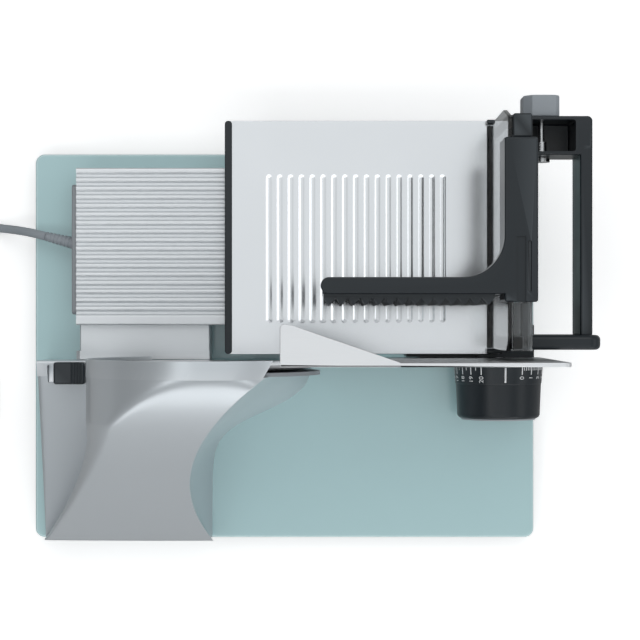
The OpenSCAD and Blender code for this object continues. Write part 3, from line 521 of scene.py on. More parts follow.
@dataclass(frozen=True)
class Finish:
    """One finish: two close colours mixed by the surface's texture, its gloss and its grain, with a
    painted highlight on sharp edges where one is given.
    """

    name: str
    slot: str
    light: tuple
    dark: tuple
    metallic: float = 0.0
    rough: tuple = (0.35, 0.45)
    grain_scale: float = 900.0
    stretch: tuple = (1.0, 1.0, 1.0)
    bump: float = 0.25
    # lighter colour painted on sharp convex edges as a highlight, none if None
    edge_highlight_colour: tuple | None = None
    edge_highlight_gain: float = 6.0
    coat: float = 0.0
    coat_rough: float = 0.05
    transmission: float = 0.0
    ior: float = 1.5

    def material(self) -> bpy.types.Material:
        """Builds the material once.

        Returns:
            The material.
        """
        made = bpy.data.materials.get(self.name)
        if made:
            return made
        made = bpy.data.materials.new(self.name)
        made.use_nodes = True
        nodes, links = made.node_tree.nodes, made.node_tree.links
        shader = nodes["Principled BSDF"]
        where = nodes.new("ShaderNodeTexCoord")
        texture = nodes.new("ShaderNodeGroup")
        texture.node_tree = TEXTURE_GROUP
        texture.inputs["Stretch"].default_value = self.stretch
        texture.inputs["Grain Scale"].default_value = self.grain_scale
        links.new(where.outputs["Object"], texture.inputs["Vector"])
        colour = self.mixed(made.node_tree, texture.outputs["Shade"])
        links.new(colour, shader.inputs["Base Color"])
        rough = nodes.new("ShaderNodeMapRange")
        for label, number in zip(("From Min", "From Max", "To Min", "To Max"),
                                 PATCH_RANGE + self.rough):
            rough.inputs[label].default_value = number
        links.new(texture.outputs["Gloss"], rough.inputs["Value"])
        links.new(rough.outputs["Result"], shader.inputs["Roughness"])
        bump = nodes.new("ShaderNodeBump")
        bump.inputs["Strength"].default_value = self.bump
        bump.inputs["Distance"].default_value = GRAIN_DEPTH
        links.new(texture.outputs["Height"], bump.inputs["Height"])
        links.new(bump.outputs["Normal"], shader.inputs["Normal"])
        shader.inputs["Metallic"].default_value = self.metallic
        shader.inputs["Coat Weight"].default_value = self.coat
        shader.inputs["Coat Roughness"].default_value = self.coat_rough
        shader.inputs["Transmission Weight"].default_value = self.transmission
        shader.inputs["IOR"].default_value = self.ior
        return made

    def mixed(self, tree: Tree, shade: Socket) -> Socket:
        """Mixes the two colours by the shade, and lays the painted edge highlight colour over them where
        it is given.

        Args:
            tree: the material's node tree.
            shade: how much of the light colour shows.

        Returns:
            The mixed colour.
        """
        nodes, links = tree.nodes, tree.links
        mix = nodes.new("ShaderNodeMix")
        mix.data_type = "RGBA"
        mix.inputs["A"].default_value = (*self.dark, 1.0)
        mix.inputs["B"].default_value = (*self.light, 1.0)
        links.new(shade, mix.inputs["Factor"])
        if self.edge_highlight_colour is None:
            return mix.outputs["Result"]
        # painted highlight: a lighter colour laid over sharp convex edges, found by their pointiness
        edge = nodes.new("ShaderNodeGroup")
        edge.node_tree = EDGE_HIGHLIGHT_GROUP
        edge.inputs["Gain"].default_value = self.edge_highlight_gain
        over = nodes.new("ShaderNodeMix")
        over.data_type = "RGBA"
        over.inputs["B"].default_value = (*self.edge_highlight_colour, 1.0)
        links.new(mix.outputs["Result"], over.inputs["A"])
        links.new(edge.outputs["Mask"], over.inputs["Factor"])
        return over.outputs["Result"]


# The edge highlight colours in these finishes are painted highlights on sharp convex edges.
GLASS = Finish("tinted_glass", "glass", (0.430, 0.635, 0.655), (0.415, 0.615, 0.635),
               rough=(0.12, 0.18), grain_scale=60, bump=0.02, coat=1.0, coat_rough=0.08,
               edge_highlight_colour=(0.78, 0.92, 0.92), edge_highlight_gain=20)
PAINT = Finish("silver_paint", "housing_casting", (0.56, 0.60, 0.63), (0.54, 0.58, 0.61),
               metallic=0.45, rough=(0.29, 0.33), grain_scale=1500, bump=0.01, coat=0.25, coat_rough=0.12,
               edge_highlight_colour=(0.80, 0.82, 0.84), edge_highlight_gain=4)
CASTING = Finish("satin_casting", "bed_casting", (0.66, 0.69, 0.71), (0.60, 0.63, 0.65),
                 metallic=0.55, rough=(0.36, 0.46), grain_scale=1200, stretch=(0.08, 1, 1), bump=0.15,
                 edge_highlight_colour=(0.82, 0.84, 0.86), edge_highlight_gain=5)
PLATE_STEEL = Finish("satin_steel", "plate_steel", (0.80, 0.82, 0.84), (0.77, 0.79, 0.81),
                     metallic=1.0, rough=(0.16, 0.20), grain_scale=1500, stretch=(1, 0.03, 1), bump=0.04)
STEEL = Finish("machined_steel", "steel", (0.62, 0.63, 0.64), (0.54, 0.55, 0.56), metallic=1.0,
               rough=(0.22, 0.32), grain_scale=1400, stretch=(1, 0.1, 1))
BLADE_STEEL = Finish("blade_steel", "blade_steel", (0.72, 0.73, 0.74), (0.65, 0.66, 0.67),
                     metallic=1.0, rough=(0.14, 0.22), grain_scale=1800, stretch=(1, 1, 0.1), bump=0.08)
STOP_ALU = Finish("anodised_plate", "stop_aluminium", (0.80, 0.815, 0.83), (0.74, 0.755, 0.77),
                  metallic=0.6, rough=(0.28, 0.36), grain_scale=1600, stretch=(0.05, 1, 1),
                  bump=0.1)
BLACK = Finish("black_moulding", "black_plastic", (0.014, 0.020, 0.025), (0.008, 0.012, 0.016),
               rough=(0.28, 0.36), grain_scale=2200, bump=0.1, ior=1.42,
               edge_highlight_colour=(0.05, 0.06, 0.068), edge_highlight_gain=5)
GREY = Finish("grey_moulding", "grey_plastic", (0.33, 0.36, 0.39), (0.29, 0.32, 0.35),
              rough=(0.36, 0.46), grain_scale=2000, edge_highlight_colour=(0.5, 0.53, 0.56))
COVER = Finish("cover_moulding", "cover_plastic", (0.30, 0.32, 0.34), (0.25, 0.27, 0.29),
               rough=(0.4, 0.5), grain_scale=2000)
CLEAR = Finish("clear_moulding", "clear_plastic", (0.95, 0.97, 0.98), (0.90, 0.93, 0.94),
               rough=(0.03, 0.06), grain_scale=40, bump=0.02, transmission=1.0, ior=1.47)
RUBBER = Finish("black_rubber", "rubber", (0.045, 0.045, 0.048), (0.03, 0.03, 0.032),
                rough=(0.6, 0.75), grain_scale=1500)
SHEATH = Finish("grey_sheath", "cord_sheath", (0.32, 0.35, 0.38), (0.28, 0.31, 0.34),
                rough=(0.42, 0.52), grain_scale=1400)
BRONZE = Finish("sintered_bronze", "bronze", (0.52, 0.38, 0.20), (0.42, 0.30, 0.16), metallic=1.0,
                rough=(0.35, 0.5))
NYLON = Finish("natural_nylon", "gear_plastic", (0.74, 0.71, 0.60), (0.66, 0.63, 0.52),
               rough=(0.4, 0.5))
IRON = Finish("laminated_iron", "stator_iron", (0.16, 0.14, 0.13), (0.10, 0.09, 0.085),
              metallic=0.8, rough=(0.45, 0.6), stretch=(1, 6, 1))
PRINT = Finish("white_print", "black_plastic", (0.86, 0.87, 0.88), (0.80, 0.81, 0.82),
               rough=(0.5, 0.6), bump=0.0)
FINISHES = {f.slot: f for f in (GLASS, PAINT, CASTING, PLATE_STEEL, STEEL, BLADE_STEEL, STOP_ALU,
                                BLACK, GREY, COVER, CLEAR, RUBBER, SHEATH, BRONZE, NYLON, IRON)}


# ---------------------------------------------------------------------------------------------
# Making pieces
# ---------------------------------------------------------------------------------------------


def bare_mesh(name: str, points: np.ndarray, faces: list, merge: float,
              degenerate: float = 0.0) -> bpy.types.Mesh:
    """Makes a mesh, merges its doubled points and turns its faces outwards.

    Args:
        name: the mesh's name.
        points: its points.
        faces: its faces.
        merge: distance under which two points become one.
        degenerate: length under which an edge is dissolved, none if 0.

    Returns:
        The mesh.
    """
    mesh = bpy.data.meshes.new(name)
    mesh.from_pydata(points.tolist(), [], faces)
    work = bmesh.new()
    work.from_mesh(mesh)
    bmesh.ops.remove_doubles(work, verts=work.verts, dist=merge)
    if degenerate:
        bmesh.ops.dissolve_degenerate(work, edges=work.edges, dist=degenerate)
    bmesh.ops.recalc_face_normals(work, faces=work.faces)
    work.to_mesh(mesh)
    work.free()
    return mesh


def linked(name: str, data: bpy.types.ID) -> bpy.types.Object:
    """Puts an object into the scene, at the origin.

    Args:
        name: its name.
        data: its mesh, curve, light or camera.

    Returns:
        The object.
    """
    made = bpy.data.objects.new(name, data)
    bpy.context.scene.collection.objects.link(made)
    return made


def evaluated(made: bpy.types.Object) -> Surface:
    """Reads an object's final mesh.

    Args:
        made: the object.

    Returns:
        Its points and faces.
    """
    bpy.context.view_layer.update()
    mesh = made.evaluated_get(bpy.context.evaluated_depsgraph_get()).to_mesh()
    points = np.empty(len(mesh.vertices) * 3)
    mesh.vertices.foreach_get("co", points)
    return Surface(points.reshape(-1, 3), [tuple(face.vertices) for face in mesh.polygons])


def piece(name: str, surface: Surface, finish: Finish, body: str, replaces: tuple = (),
          sharp: float = 35.0, bevel: float = 0.0) -> bpy.types.Object:
    """Turns a surface into a finished piece that rides on a body.

    Args:
        name: the piece's name.
        surface: its points and faces.
        finish: its finish.
        body: the body that it moves with.
        replaces: construction nodes that it stands for.
        sharp: edges that turn by more degrees than this stay sharp.
        bevel: width of a bevel on those edges, in millimetres.

    Returns:
        The object.
    """
    mesh = bare_mesh(name, DATUM.place(surface.points), surface.faces, MERGE * MM, MERGE / 2 * MM)
    mesh.shade_smooth()
    mesh.set_sharp_from_angle(angle=math.radians(sharp))
    made = linked(name, mesh)
    if bevel:
        rounding = made.modifiers.new("edge", "BEVEL")
        rounding.width = bevel * MM
        rounding.segments = 3
        rounding.limit_method = "ANGLE"
        rounding.angle_limit = math.radians(30)
    even = made.modifiers.new("shading", "WEIGHTED_NORMAL")
    even.keep_sharp = True
    even.weight = 100
    mesh.materials.append(finish.material())
    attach(made, body)
    if replaces:
        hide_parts(*replaces)
    LOG.info("%s: %d faces on %s", name, len(mesh.polygons), body)
    return made


def solid(surface: Surface) -> bpy.types.Object:
    """A bare mesh object of a surface in millimetres, for carving."""
    return linked("shape", bare_mesh("shape", surface.points, surface.faces, MERGE / 2))


def shaped(base: Surface, *steps: tuple) -> Surface:
    """Joins shapes to a solid and cuts shapes out of it, in order.

    Args:
        base: the first closed surface.
        steps: pairs of "UNION" or "DIFFERENCE" and a closed surface.

    Returns:
        The new closed surface.
    """
    made, tools = solid(base), []
    for operation, surface in steps:
        tool = solid(surface)
        tools.append(tool)
        change = made.modifiers.new(operation, "BOOLEAN")
        change.operation = operation
        change.solver = "EXACT"
        change.object = tool
    result = evaluated(made)
    for spare in [made, *tools]:
        data = spare.data
        bpy.data.objects.remove(spare)
        bpy.data.meshes.remove(data)
    return result


def block(low: tuple, high: tuple) -> Surface:
    """A sharp block, used to cut with."""
    outline = np.array([(low[0], low[1]), (high[0], low[1]), (high[0], high[1]), (low[0], high[1])])
    return prism(outline, low[2], high[2])


def rod(centre: tuple, radius: float, low: float, high: float, axis: Axis,
        steps: int = 40) -> Surface:
    """A plain round bar, used to cut with."""
    section = np.array([[0, low], [radius, low], [radius, high], [0, high]])
    return turned(section, centre, axis, steps)


def dress_construction() -> None:
    """Gives every construction node that stays in view the finish of its slot."""
    slots = {row["node"]: row["material_slot"] for row in frame["record"]["subparts"]}
    for name, node in frame["nodes"].items():
        finish = FINISHES[slots[name]]
        for holder in node.material_slots:
            holder.material = finish.material()
        if not node.material_slots:
            node.data.materials.append(finish.material())
        LOG.info("%s keeps its shape, finished as %s", name, finish.name)


# ---------------------------------------------------------------------------------------------
# Studio
# ---------------------------------------------------------------------------------------------


@dataclass
class Studio:
    """Camera straight above the machine, a pale floor and soft lights."""

    height: float = 1.32
    aside: tuple = (0.0126, 0.0042)
    lens: float = 94.6
    floor_size: float = 12.0
    floor_colour: tuple = (0.46, 0.95)
    floor_glow: tuple = (0.0, 0.35)
    patch_rise: tuple = (0.76, 0.97)
    patch_light: float = 0.88
    side_rise: tuple = (-0.95, 0.0)
    side_light: tuple = (0.12, 0.42)

    def camera(self) -> None:
        """Puts the camera over the footprint, looking down."""
        data = bpy.data.cameras.new("camera")
        data.lens = self.lens
        data.sensor_width = 36.0
        data.clip_end = 50.0
        made = linked("camera", data)
        made.location = (self.aside[0], self.aside[1], self.height)
        bpy.context.scene.camera = made

    def lamp(self, name: str, place: tuple, size: tuple, power: float, turn: tuple) -> None:
        """Adds one soft rectangular light.

        Args:
            name: its name.
            place: its middle, in metres.
            size: its two sides, in metres.
            power: its power, in watts.
            turn: its turn about each axis, in degrees, from shining straight down.
        """
        data = bpy.data.lights.new(name, "AREA")
        data.shape = "RECTANGLE"
        data.size, data.size_y = size
        data.energy = power
        made = linked(name, data)
        made.location = place
        made.rotation_euler = tuple(math.radians(a) for a in turn)

    def lights(self) -> None:
        """A broad light over the food side, strips in front and at the side, and two low boxes."""
        self.lamp("overhead", (0.15, 1.45, 2.0), (2.6, 1.5), 14.0, (-36, 4, 0))
        self.lamp("side_strip", (-0.95, 0.1, 2.0), (0.45, 2.2), 3.6, (0, -25, 0))
        self.lamp("front_strip", (-0.1, -0.95, 2.1), (2.4, 0.4), 5.0, (24, 0, 0))
        self.lamp("front_box", (0.4, -2.2, 0.60), (3.0, 1.0), 17.0, (76, 0, 8))
        self.lamp("right", (2.2, -0.2, 1.3), (1.0, 1.8), 4.0, (0, 60, 0))

    def sky(self) -> None:
        """A bright patch overhead that falls to a grey horizon, darker on the housing's side."""
        world = bpy.data.worlds.new("studio")
        bpy.context.scene.world = world
        world.use_nodes = True
        tree = world.node_tree
        nodes, links = tree.nodes, tree.links
        where = nodes.new("ShaderNodeTexCoord")
        split = nodes.new("ShaderNodeSeparateXYZ")
        links.new(where.outputs["Generated"], split.inputs[0])
        patch = self.ramp(tree, split.outputs["Z"], self.patch_rise, (0.0, 1.0))
        side = self.ramp(tree, split.outputs["X"], self.side_rise, self.side_light)
        mix = nodes.new("ShaderNodeMix")
        links.new(patch, mix.inputs["Factor"])
        links.new(side, mix.inputs["A"])
        mix.inputs["B"].default_value = self.patch_light
        links.new(mix.outputs["Result"], nodes["Background"].inputs["Strength"])
        nodes["Background"].inputs["Color"].default_value = (0.96, 0.985, 1.0, 1.0)
        bpy.context.scene.view_settings.view_transform = "Standard"

    @staticmethod
    def ramp(tree: Tree, value: Socket, given: tuple, wanted: tuple) -> Socket:
        """Maps a value smoothly from one range to another.

        Args:
            tree: the node tree.
            value: the value.
            given: its lowest and highest value.
            wanted: what these two turn into.

        Returns:
            The mapped value.
        """
        step = tree.nodes.new("ShaderNodeMapRange")
        step.interpolation_type = "SMOOTHSTEP"
        for label, number in zip(("From Min", "From Max", "To Min", "To Max"), given + wanted):
            step.inputs[label].default_value = number
        tree.links.new(value, step.inputs["Value"])
        return step.outputs["Result"]

    def floor(self) -> None:
        """A pale floor whose colour and glow have one value for the camera and one for the rest.

        The rest is bounced light and reflections: they meet a greyer floor without a glow, so
        that it throws less light back on the machine.
        """
        half = self.floor_size / 2
        mesh = bpy.data.meshes.new("floor")
        mesh.from_pydata([(-half, -half, 0), (half, -half, 0), (half, half, 0), (-half, half, 0)],
                         [], [(0, 1, 2, 3)])
        made = linked("floor", mesh)
        paint = bpy.data.materials.new("floor_paint")
        paint.use_nodes = True
        tree = paint.node_tree
        shader = tree.nodes["Principled BSDF"]
        seen = tree.nodes.new("ShaderNodeLightPath").outputs["Is Camera Ray"]
        for label, wanted in (("Base Color", self.floor_colour),
                              ("Emission Strength", self.floor_glow)):
            tree.links.new(self.ramp(tree, seen, (0.0, 1.0), wanted), shader.inputs[label])
        shader.inputs["Emission Color"].default_value = (1, 1, 1, 1)
        shader.inputs["Roughness"].default_value = 0.9
        mesh.materials.append(paint)


# ---------------------------------------------------------------------------------------------
# Mains lead
# ---------------------------------------------------------------------------------------------


@dataclass
class MainsLead:
    """The lead: a route over the table given point by point, a neat coil, a short tail and a plug."""

    diameter: float = 6.6
    relief: tuple = (-0.955, 0.24, -0.17)
    relief_length: float = 24.0
    route: tuple = (
        (-140, 95.5, 30.8), (-147, 97.2, 27), (-154, 98.6, 21.6), (-161, 99.8, 15.6),
        (-168, 100.8, 10.4), (-176, 101.8, 6.4), (-184, 102.8, 4.2), (-193, 103.8, 3.5),
        (-203, 104.8, 3.4), (-213, 105.5, 3.4), (-221, 105.8, 3.4))
    tail: tuple = (
        (-220, 26.2, 9.8), (-212.8, 25.2, 8.8), (-206, 22.4, 7.4), (-200.2, 18, 6.1),
        (-195.8, 12.2, 5.6), (-193, 5.4, 6.2), (-192, -1.8, 7.4))
    centre: tuple = (-232.0, 66.0)
    mean_radius: float = 36.5
    turns: float = 4.5

    def gland(self) -> np.ndarray:
        """Where the lead passes the bed's end cover."""
        bed, _ = DATUM.box("slide_bed")
        return np.array([bed[0] - 2.8, 88.0, 38.0])

    def coil(self) -> np.ndarray:
        """Winds the coil: the angle runs evenly, and radius and height step softly with it.

        The first turn lies outside, the next two inside and the rest outside again, and from the
        third turn on they lie in a second layer.

        Returns:
            Points of its centreline.
        """
        count = int(self.turns * 28)
        turn = np.linspace(0.02, self.turns - 0.02, count)
        half = self.diameter / 2
        radius = np.interp(turn, [0.0, 0.85, 1.15, 2.85, 3.15, self.turns],
                           [half, half, -half, -half, half, half]) + self.mean_radius
        lift = np.interp(turn, [0.0, 1.85, 2.15, self.turns], [3.4, 3.4, 9.9, 9.9])
        angle = math.pi / 2 + 2 * math.pi * turn
        return np.stack([self.centre[0] + radius * np.cos(angle),
                         self.centre[1] + radius * np.sin(angle), lift], axis=1)

    def centreline(self) -> np.ndarray:
        """The whole centreline, from the strain relief's tip to the plug."""
        tip = self.gland() + self.relief_length * np.array(self.relief)
        return np.concatenate([tip[None], self.route, self.coil(), self.tail])

    def cord(self) -> None:
        """The sheath: one smooth open curve along the centreline.
        """
        line = self.centreline()
        data = bpy.data.curves.new("power_cord_sheath", "CURVE")
        data.dimensions = "3D"
        data.bevel_depth = self.diameter / 2 * MM
        data.bevel_resolution = 5
        data.resolution_u = 3
        data.use_fill_caps = True
        spline = data.splines.new("NURBS")
        spline.points.add(len(line) - 1)
        placed = DATUM.place(line)
        spline.points.foreach_set("co", np.hstack([placed, np.ones((len(line), 1))]).ravel())
        spline.use_endpoint_u = True
        spline.order_u = 3
        made = linked("power_cord_sheath", data)
        data.materials.append(SHEATH.material())
        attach(made, "base")
        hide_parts("power_cord", "cord_coil", "cord_tail")

    def strain_relief(self) -> None:
        """A ribbed cone: radius falls from root to tip, with a groove each three millimetres."""
        start = self.gland()
        way = np.array(self.relief) / np.linalg.norm(self.relief)
        t = np.linspace(0, 1, 73)
        radius = 4.7 - 1.1 * t
        ribs = 0.45 * (np.cos(2 * math.pi * t * self.relief_length / 3.0) < -0.2) * (t > 0.12)
        path = start + np.outer(t * self.relief_length, way)
        body = swept(path, radius - ribs, 24)
        collar = turned(np.array([[0, start[0]], [5.3, start[0]], [5.3, start[0] + 8.6],
                                  [0, start[0] + 8.6]]), (start[1], start[2]), Axis.X, 32)
        piece("strain_relief_boot", body.joined(collar), SHEATH, "base", ("cord_strain_relief",))

    def plug(self) -> bpy.types.Object:
        """A moulded plug with a waisted neck and two round pins.

        Returns:
            The plug.
        """
        x, y, z = self.tail[-1]
        neck = np.array([[0, y - 0.3], [4.2, y - 0.3], [4.6, y - 3], [5.6, y - 9], [6.9, y - 14],
                         [7.0, y - 15.5], [0, y - 15.5]])
        shape = turned(neck, (x, z), Axis.Y, 32)
        grip = soft_block((x - 13, y - 45, z - 7.15), (x + 13, y - 14, z + 7.2), 3.0, 5.0, Axis.Y)
        parts = [grip]
        for side in (-9.5, 9.5):
            pin = np.array([[0, y - 44], [2, y - 44], [2, y - 62.2], [1.2, y - 63.8], [0, y - 64]])
            parts.append(turned(pin, (x + side, z), Axis.Y, 20))
        return piece("plug_moulding", shape.joined(*parts), BLACK, "base", ("mains_plug",))

    def build(self) -> None:
        """Makes the lead and what is on it."""
        plug = self.plug()
        self.strain_relief()
        self.cord()


# ---------------------------------------------------------------------------------------------
# Glass base and slide bed
# ---------------------------------------------------------------------------------------------


@dataclass
class GlassBase:
    """The tinted glass plate with ground edges."""

    corner: float = 7.0
    edge: float = 1.3
    land: float = 1.0

    def build(self) -> None:
        """A rounded rectangle whose rims are ground round."""
        low, high = DATUM.box("glass_plate")
        outline = box_outline(low[:2], high[:2], self.corner, 10)
        surface = edged_prism(outline, low[2], high[2], self.edge, land=self.land)
        piece("glass_top", surface, GLASS, "base", ("glass_plate",), sharp=50)


@dataclass
class SlideBed:
    """The grooved casting under the carriage, its end cover and the bridge at the blade."""

    wall: float = 3.0
    roof: float = 6.0
    pitch: float = 6.44
    grooves: int = 17
    first: float = 5.7
    width: float = 1.7
    depth: float = 1.6
    slot: tuple = (36.0, 48.0)

    def profile(self, low: np.ndarray, high: np.ndarray) -> np.ndarray:
        """Outline across the bed: a box whose roof has round-lipped grooves.

        Args:
            low: the bed's lowest corner.
            high: its highest corner.

        Returns:
            The outline's points.
        """
        corners, radii = [(low[1], low[2]), (low[1], high[2])], [0.3, 1.4]
        middles = high[1] - self.first - self.pitch * np.arange(self.grooves)[::-1]
        for middle in middles:
            for side, top in ((-1.25, True), (-0.5, False), (0.5, False), (1.25, True)):
                corners.append((middle + side * self.width, high[2] - (0 if top else self.depth)))
                radii.append(1.5 if top else 0.5)
        corners += [(high[1], high[2]), (high[1], low[2])]
        radii += [1.4, 0.3]
        return rounded_outline(corners, radii, 4)

    def bed(self) -> None:
        """The grooved outline made long, hollow below, with the arm's slot in its far wall."""
        low, high = DATUM.box("slide_bed")
        w = self.wall
        cavity = block((low[0] + w, low[1] + w, low[2] - 1),
                       (high[0] - w, high[1] - w, high[2] - self.roof))
        slot = block((low[0] + w, high[1] - w - 1, self.slot[0]),
                     (high[0] - w, high[1] + 1, self.slot[1]))
        body = prism(self.profile(low, high), low[0], high[0], Axis.X)
        cut = shaped(body, ("DIFFERENCE", cavity), ("DIFFERENCE", slot))
        piece("grooved_bed", cut, CASTING, "base", ("slide_bed",), sharp=40)

    def cover(self) -> None:
        """A soft-edged end cover."""
        low, high = DATUM.box("bed_end_cover")
        cover = soft_block(low, high, 1.2, 3.0, Axis.X)
        piece("bed_cover", cover, COVER, "base", ("bed_end_cover",))

    def bridge(self) -> None:
        """The plain casting between the bed and the blade, flared at its left end."""
        low, high = DATUM.box("blade_bridge")
        left = low[0] + 3
        lip = np.array([(left - 3, low[2]), (left - 3, high[2] - 2), (left, high[2]),
                        (high[0], high[2]), (high[0], low[2])])
        lip = rounded_outline(lip[::-1], [0.2, 0.8, 1.5, 1.2, 0.2], 5)
        front = prism(lip, low[1], low[1] + 6.5, Axis.Y)
        back = prism(rounded_outline([(left, low[2]), (high[0], low[2]), (high[0], high[2]),
                                      (left, high[2])], [0.2, 0.2, 1.2, 1.2], 5),
                     low[1] + 5.8, high[1], Axis.Y)
        hollow = block((left + 3.2, 4, low[2] - 1), (high[0] - 4, high[1] - 4, high[2] - 4))
        shape = shaped(front, ("UNION", back), ("DIFFERENCE", hollow))
        piece("bridge_casting", shape, CASTING, "base", ("blade_bridge",), sharp=32)

    def build(self) -> None:
        """Makes the bed, its cover and the bridge."""
        self.bed()
        self.cover()
        self.bridge()


# ---------------------------------------------------------------------------------------------
# Motor housing
# ---------------------------------------------------------------------------------------------


def soft_step(t: np.ndarray) -> np.ndarray:
    """Zero below 0, one above 1, and 3t^2 - 2t^3 between."""
    t = np.clip(t, 0, 1)
    return t * t * (3 - 2 * t)


def even_ends(count: int) -> np.ndarray:
    """Numbers from 0 to 1 that lie closer at both ends: half of 1 - cos(pi t)."""
    return (1 - np.cos(math.pi * np.linspace(0, 1, count))) / 2


@dataclass
class Housing:
    """The swept motor housing: a drum behind the blade whose roof falls to a low front edge."""

    hood_r: float = 88.0
    room_r: float = 86.5
    lip: float = 0.03
    front_z: float = 42.0
    foot: float = -7.2
    rows: int = 120
    ledge_rise: float = 44.0
    sail_power: float = 1.362
    sail_crown: float = 0.0004
    crest_x: float = -16.5
    crest_y: float = 94.0
    crest_bends: tuple = (0.0077, 0.0060)
    flank_swing: float = 78.5
    flank_y: float = 41.0
    flank_spread: float = 9.0
    panel_deep: float = 2.4

    def __post_init__(self) -> None:
        """Reads the places of the blade and of the housing's own corners."""
        self.left, self.front, _ = DATUM.box("motor_housing")[0]
        self.base = DATUM.box("glass_plate")[1][2]
        self.axis = DATUM.middle("blade")[2]
        self.back = -8.0
        self.top = self.axis + self.hood_r

    def ledge(self, y: np.ndarray) -> np.ndarray:
        """Height of the switch ledge: it falls evenly towards the front."""
        return self.base + 5 + self.ledge_rise * (1 - y / (self.front + 3))

    def sail(self, y: np.ndarray) -> np.ndarray:
        """Height of the sail: the drop grows with a power of the way to the front."""
        way = np.clip((-y - 6) / (-self.front - 6), 0, None)
        return self.top - (self.top - self.front_z) * way ** self.sail_power

    def drum_left(self, y: np.ndarray) -> np.ndarray:
        """Left edge of the drum: it flares to the left with the power 1.5 of the way."""
        way = np.clip((-y - 50) / (-self.front - 53), 0, None)
        return -self.hood_r + (self.left + 2.1 + self.hood_r) * way ** 1.5

    def drum_height(self, y: np.ndarray) -> np.ndarray:
        """Height of the drum's axis: it sinks with the power 1.3 of the way, down to the ledge."""
        way = np.clip((-y - 40) / (-self.front - 43), 0, None)
        return np.maximum(self.ledge(y) + 1, self.axis - (self.axis - self.base - 5) * way ** 1.3)

    def crest(self, y: np.ndarray) -> np.ndarray:
        """Right crest: two parabolas that meet at their leftmost point.

        Args:
            y: places along the housing.

        Returns:
            Its x at each place.
        """
        over, under = np.clip(self.crest_y + y, 0, None), np.clip(self.crest_y + y, None, 0)
        behind, ahead = self.crest_bends
        return self.crest_x + behind * over ** 2 + ahead * under ** 2

    def flank_foot(self, y: np.ndarray) -> np.ndarray:
        """Foot of the right flank: a logistic step that spreads under the blade."""
        return self.foot + self.flank_swing / (1 + np.exp((-y - self.flank_y) / self.flank_spread))

    def roof(self, x: np.ndarray, y: np.ndarray, wall: float, drop: float) -> np.ndarray:
        """Soft minimum of the sail and of the drum's circle.

        The soft minimum is -k log(exp(-a/k) + exp(-b/k)); k shrinks from a broad round to an edge.

        Args:
            x: places across the housing.
            y: places along it.
            wall: how far the drum lies inside the outer skin.
            drop: how far the sail lies below it.

        Returns:
            Height at each place.
        """
        k = np.interp(-y, [8, 60, 130], [1.5, 1.3, 0.5])
        u = x - self.drum_left(y) - self.hood_r
        circle = np.sqrt(np.clip((self.hood_r - wall) ** 2 - u ** 2, 0, None))
        drum = self.drum_height(y) + circle
        sail = self.sail(y) - drop - self.sail_crown * (x + 40) ** 2
        return -k * np.logaddexp(-drum / k, -sail / k)

    def skin(self, y_back: float, y_front: float, wall: float, drop: float, base: float,
             rows: int) -> Surface:
        """A closed skin: left wall, ledge, drum, roof, crest and hollow flank, row by row.

        Args:
            y_back: first row.
            y_front: last row.
            wall: how far the walls lie inside the outer skin.
            drop: how far the roof lies below it.
            base: height of its underside.
            rows: number of rows.

        Returns:
            The closed surface.
        """
        y = np.linspace(y_back, y_front, rows)[:, None]
        ledge = self.ledge(y) - wall
        left = np.full_like(y, self.left + wall)
        drum = self.drum_left(y) + wall
        crest = self.crest(y) - 1.25 * wall
        foot = self.flank_foot(y) - 1.5 * wall
        shoulder = np.maximum(self.drum_height(y) - wall, ledge + 0.5)
        t = even_ends(14)
        wall_x, wall_z = left + 0 * t, base + (ledge - base) * t
        ledge_x, ledge_z = left + (drum - left) * t, ledge + 0 * t
        side_x, side_z = drum + 0 * t, ledge + (shoulder - ledge) * t
        t = even_ends(84)
        roof_x = drum + (crest - drum) * t
        roof_z = np.maximum(shoulder, self.roof(roof_x, y, wall, drop))
        t = even_ends(44)[1:]
        flank_z = roof_z[:, -1:] + (base - roof_z[:, -1:]) * t
        flank_x = crest + (foot - crest) * t - 3 * np.sin(math.pi * t)
        if not wall:
            flank_x = flank_x - self.panel(t, y)
        x = np.hstack([wall_x, ledge_x, side_x, roof_x, flank_x])
        z = np.hstack([wall_z, ledge_z, side_z, roof_z, flank_z])
        if not wall:
            x[:, 1:-1], z[:, 1:-1] = self.eased(x, 9), self.eased(z, 9)
        return grid(np.stack([x, y + 0 * x, z], axis=-1), close_columns=True, cap_ends=True)

    @staticmethod
    def eased(row: np.ndarray, passes: int) -> np.ndarray:
        """Rounds corners: each point moves to a quarter, a half and a quarter of its neighbours.

        Args:
            row: one coordinate of each row's points.
            passes: how often the points move.

        Returns:
            The moved coordinates, without the first and the last.
        """
        row = row.copy()
        for _ in range(passes):
            row[:, 1:-1] = (row[:, :-2] + 2 * row[:, 1:-1] + row[:, 2:]) / 4
        return row[:, 1:-1]

    def panel(self, t: np.ndarray, y: np.ndarray) -> np.ndarray:
        """Depth of the sunk panel in the flank: two soft steps across and one along."""
        across = soft_step((t - 0.22) / 0.07) * soft_step((0.70 - t) / 0.09)
        return self.panel_deep * across * soft_step((y + 58) / 9)

    def rim(self) -> Surface:
        """The ring round the blade: its section turns from a slanted start to its lower end.

        Returns:
            The closed surface.
        """
        inner, outer = self.room_r, self.hood_r + self.lip
        profile = np.array([(inner, -9.5), (inner, 2.6), (inner + 0.4, 3.0), (outer - 0.5, 3.0),
                            (outer - 0.1, 2.8), (outer, 2.3), (outer, -2), (outer, -9.5)])
        start = np.interp(profile[:, 1], [-9.5, 3.0], [64.5, 59.3])
        turn = np.radians(start + (235 - start) * np.linspace(0, 1, 150)[:, None])
        x, z = profile[:, 0] * np.cos(turn), self.axis + profile[:, 0] * np.sin(turn)
        points = np.stack([x, profile[:, 1] + 0 * x, z], axis=-1)
        return grid(points, close_columns=True, cap_ends=True)

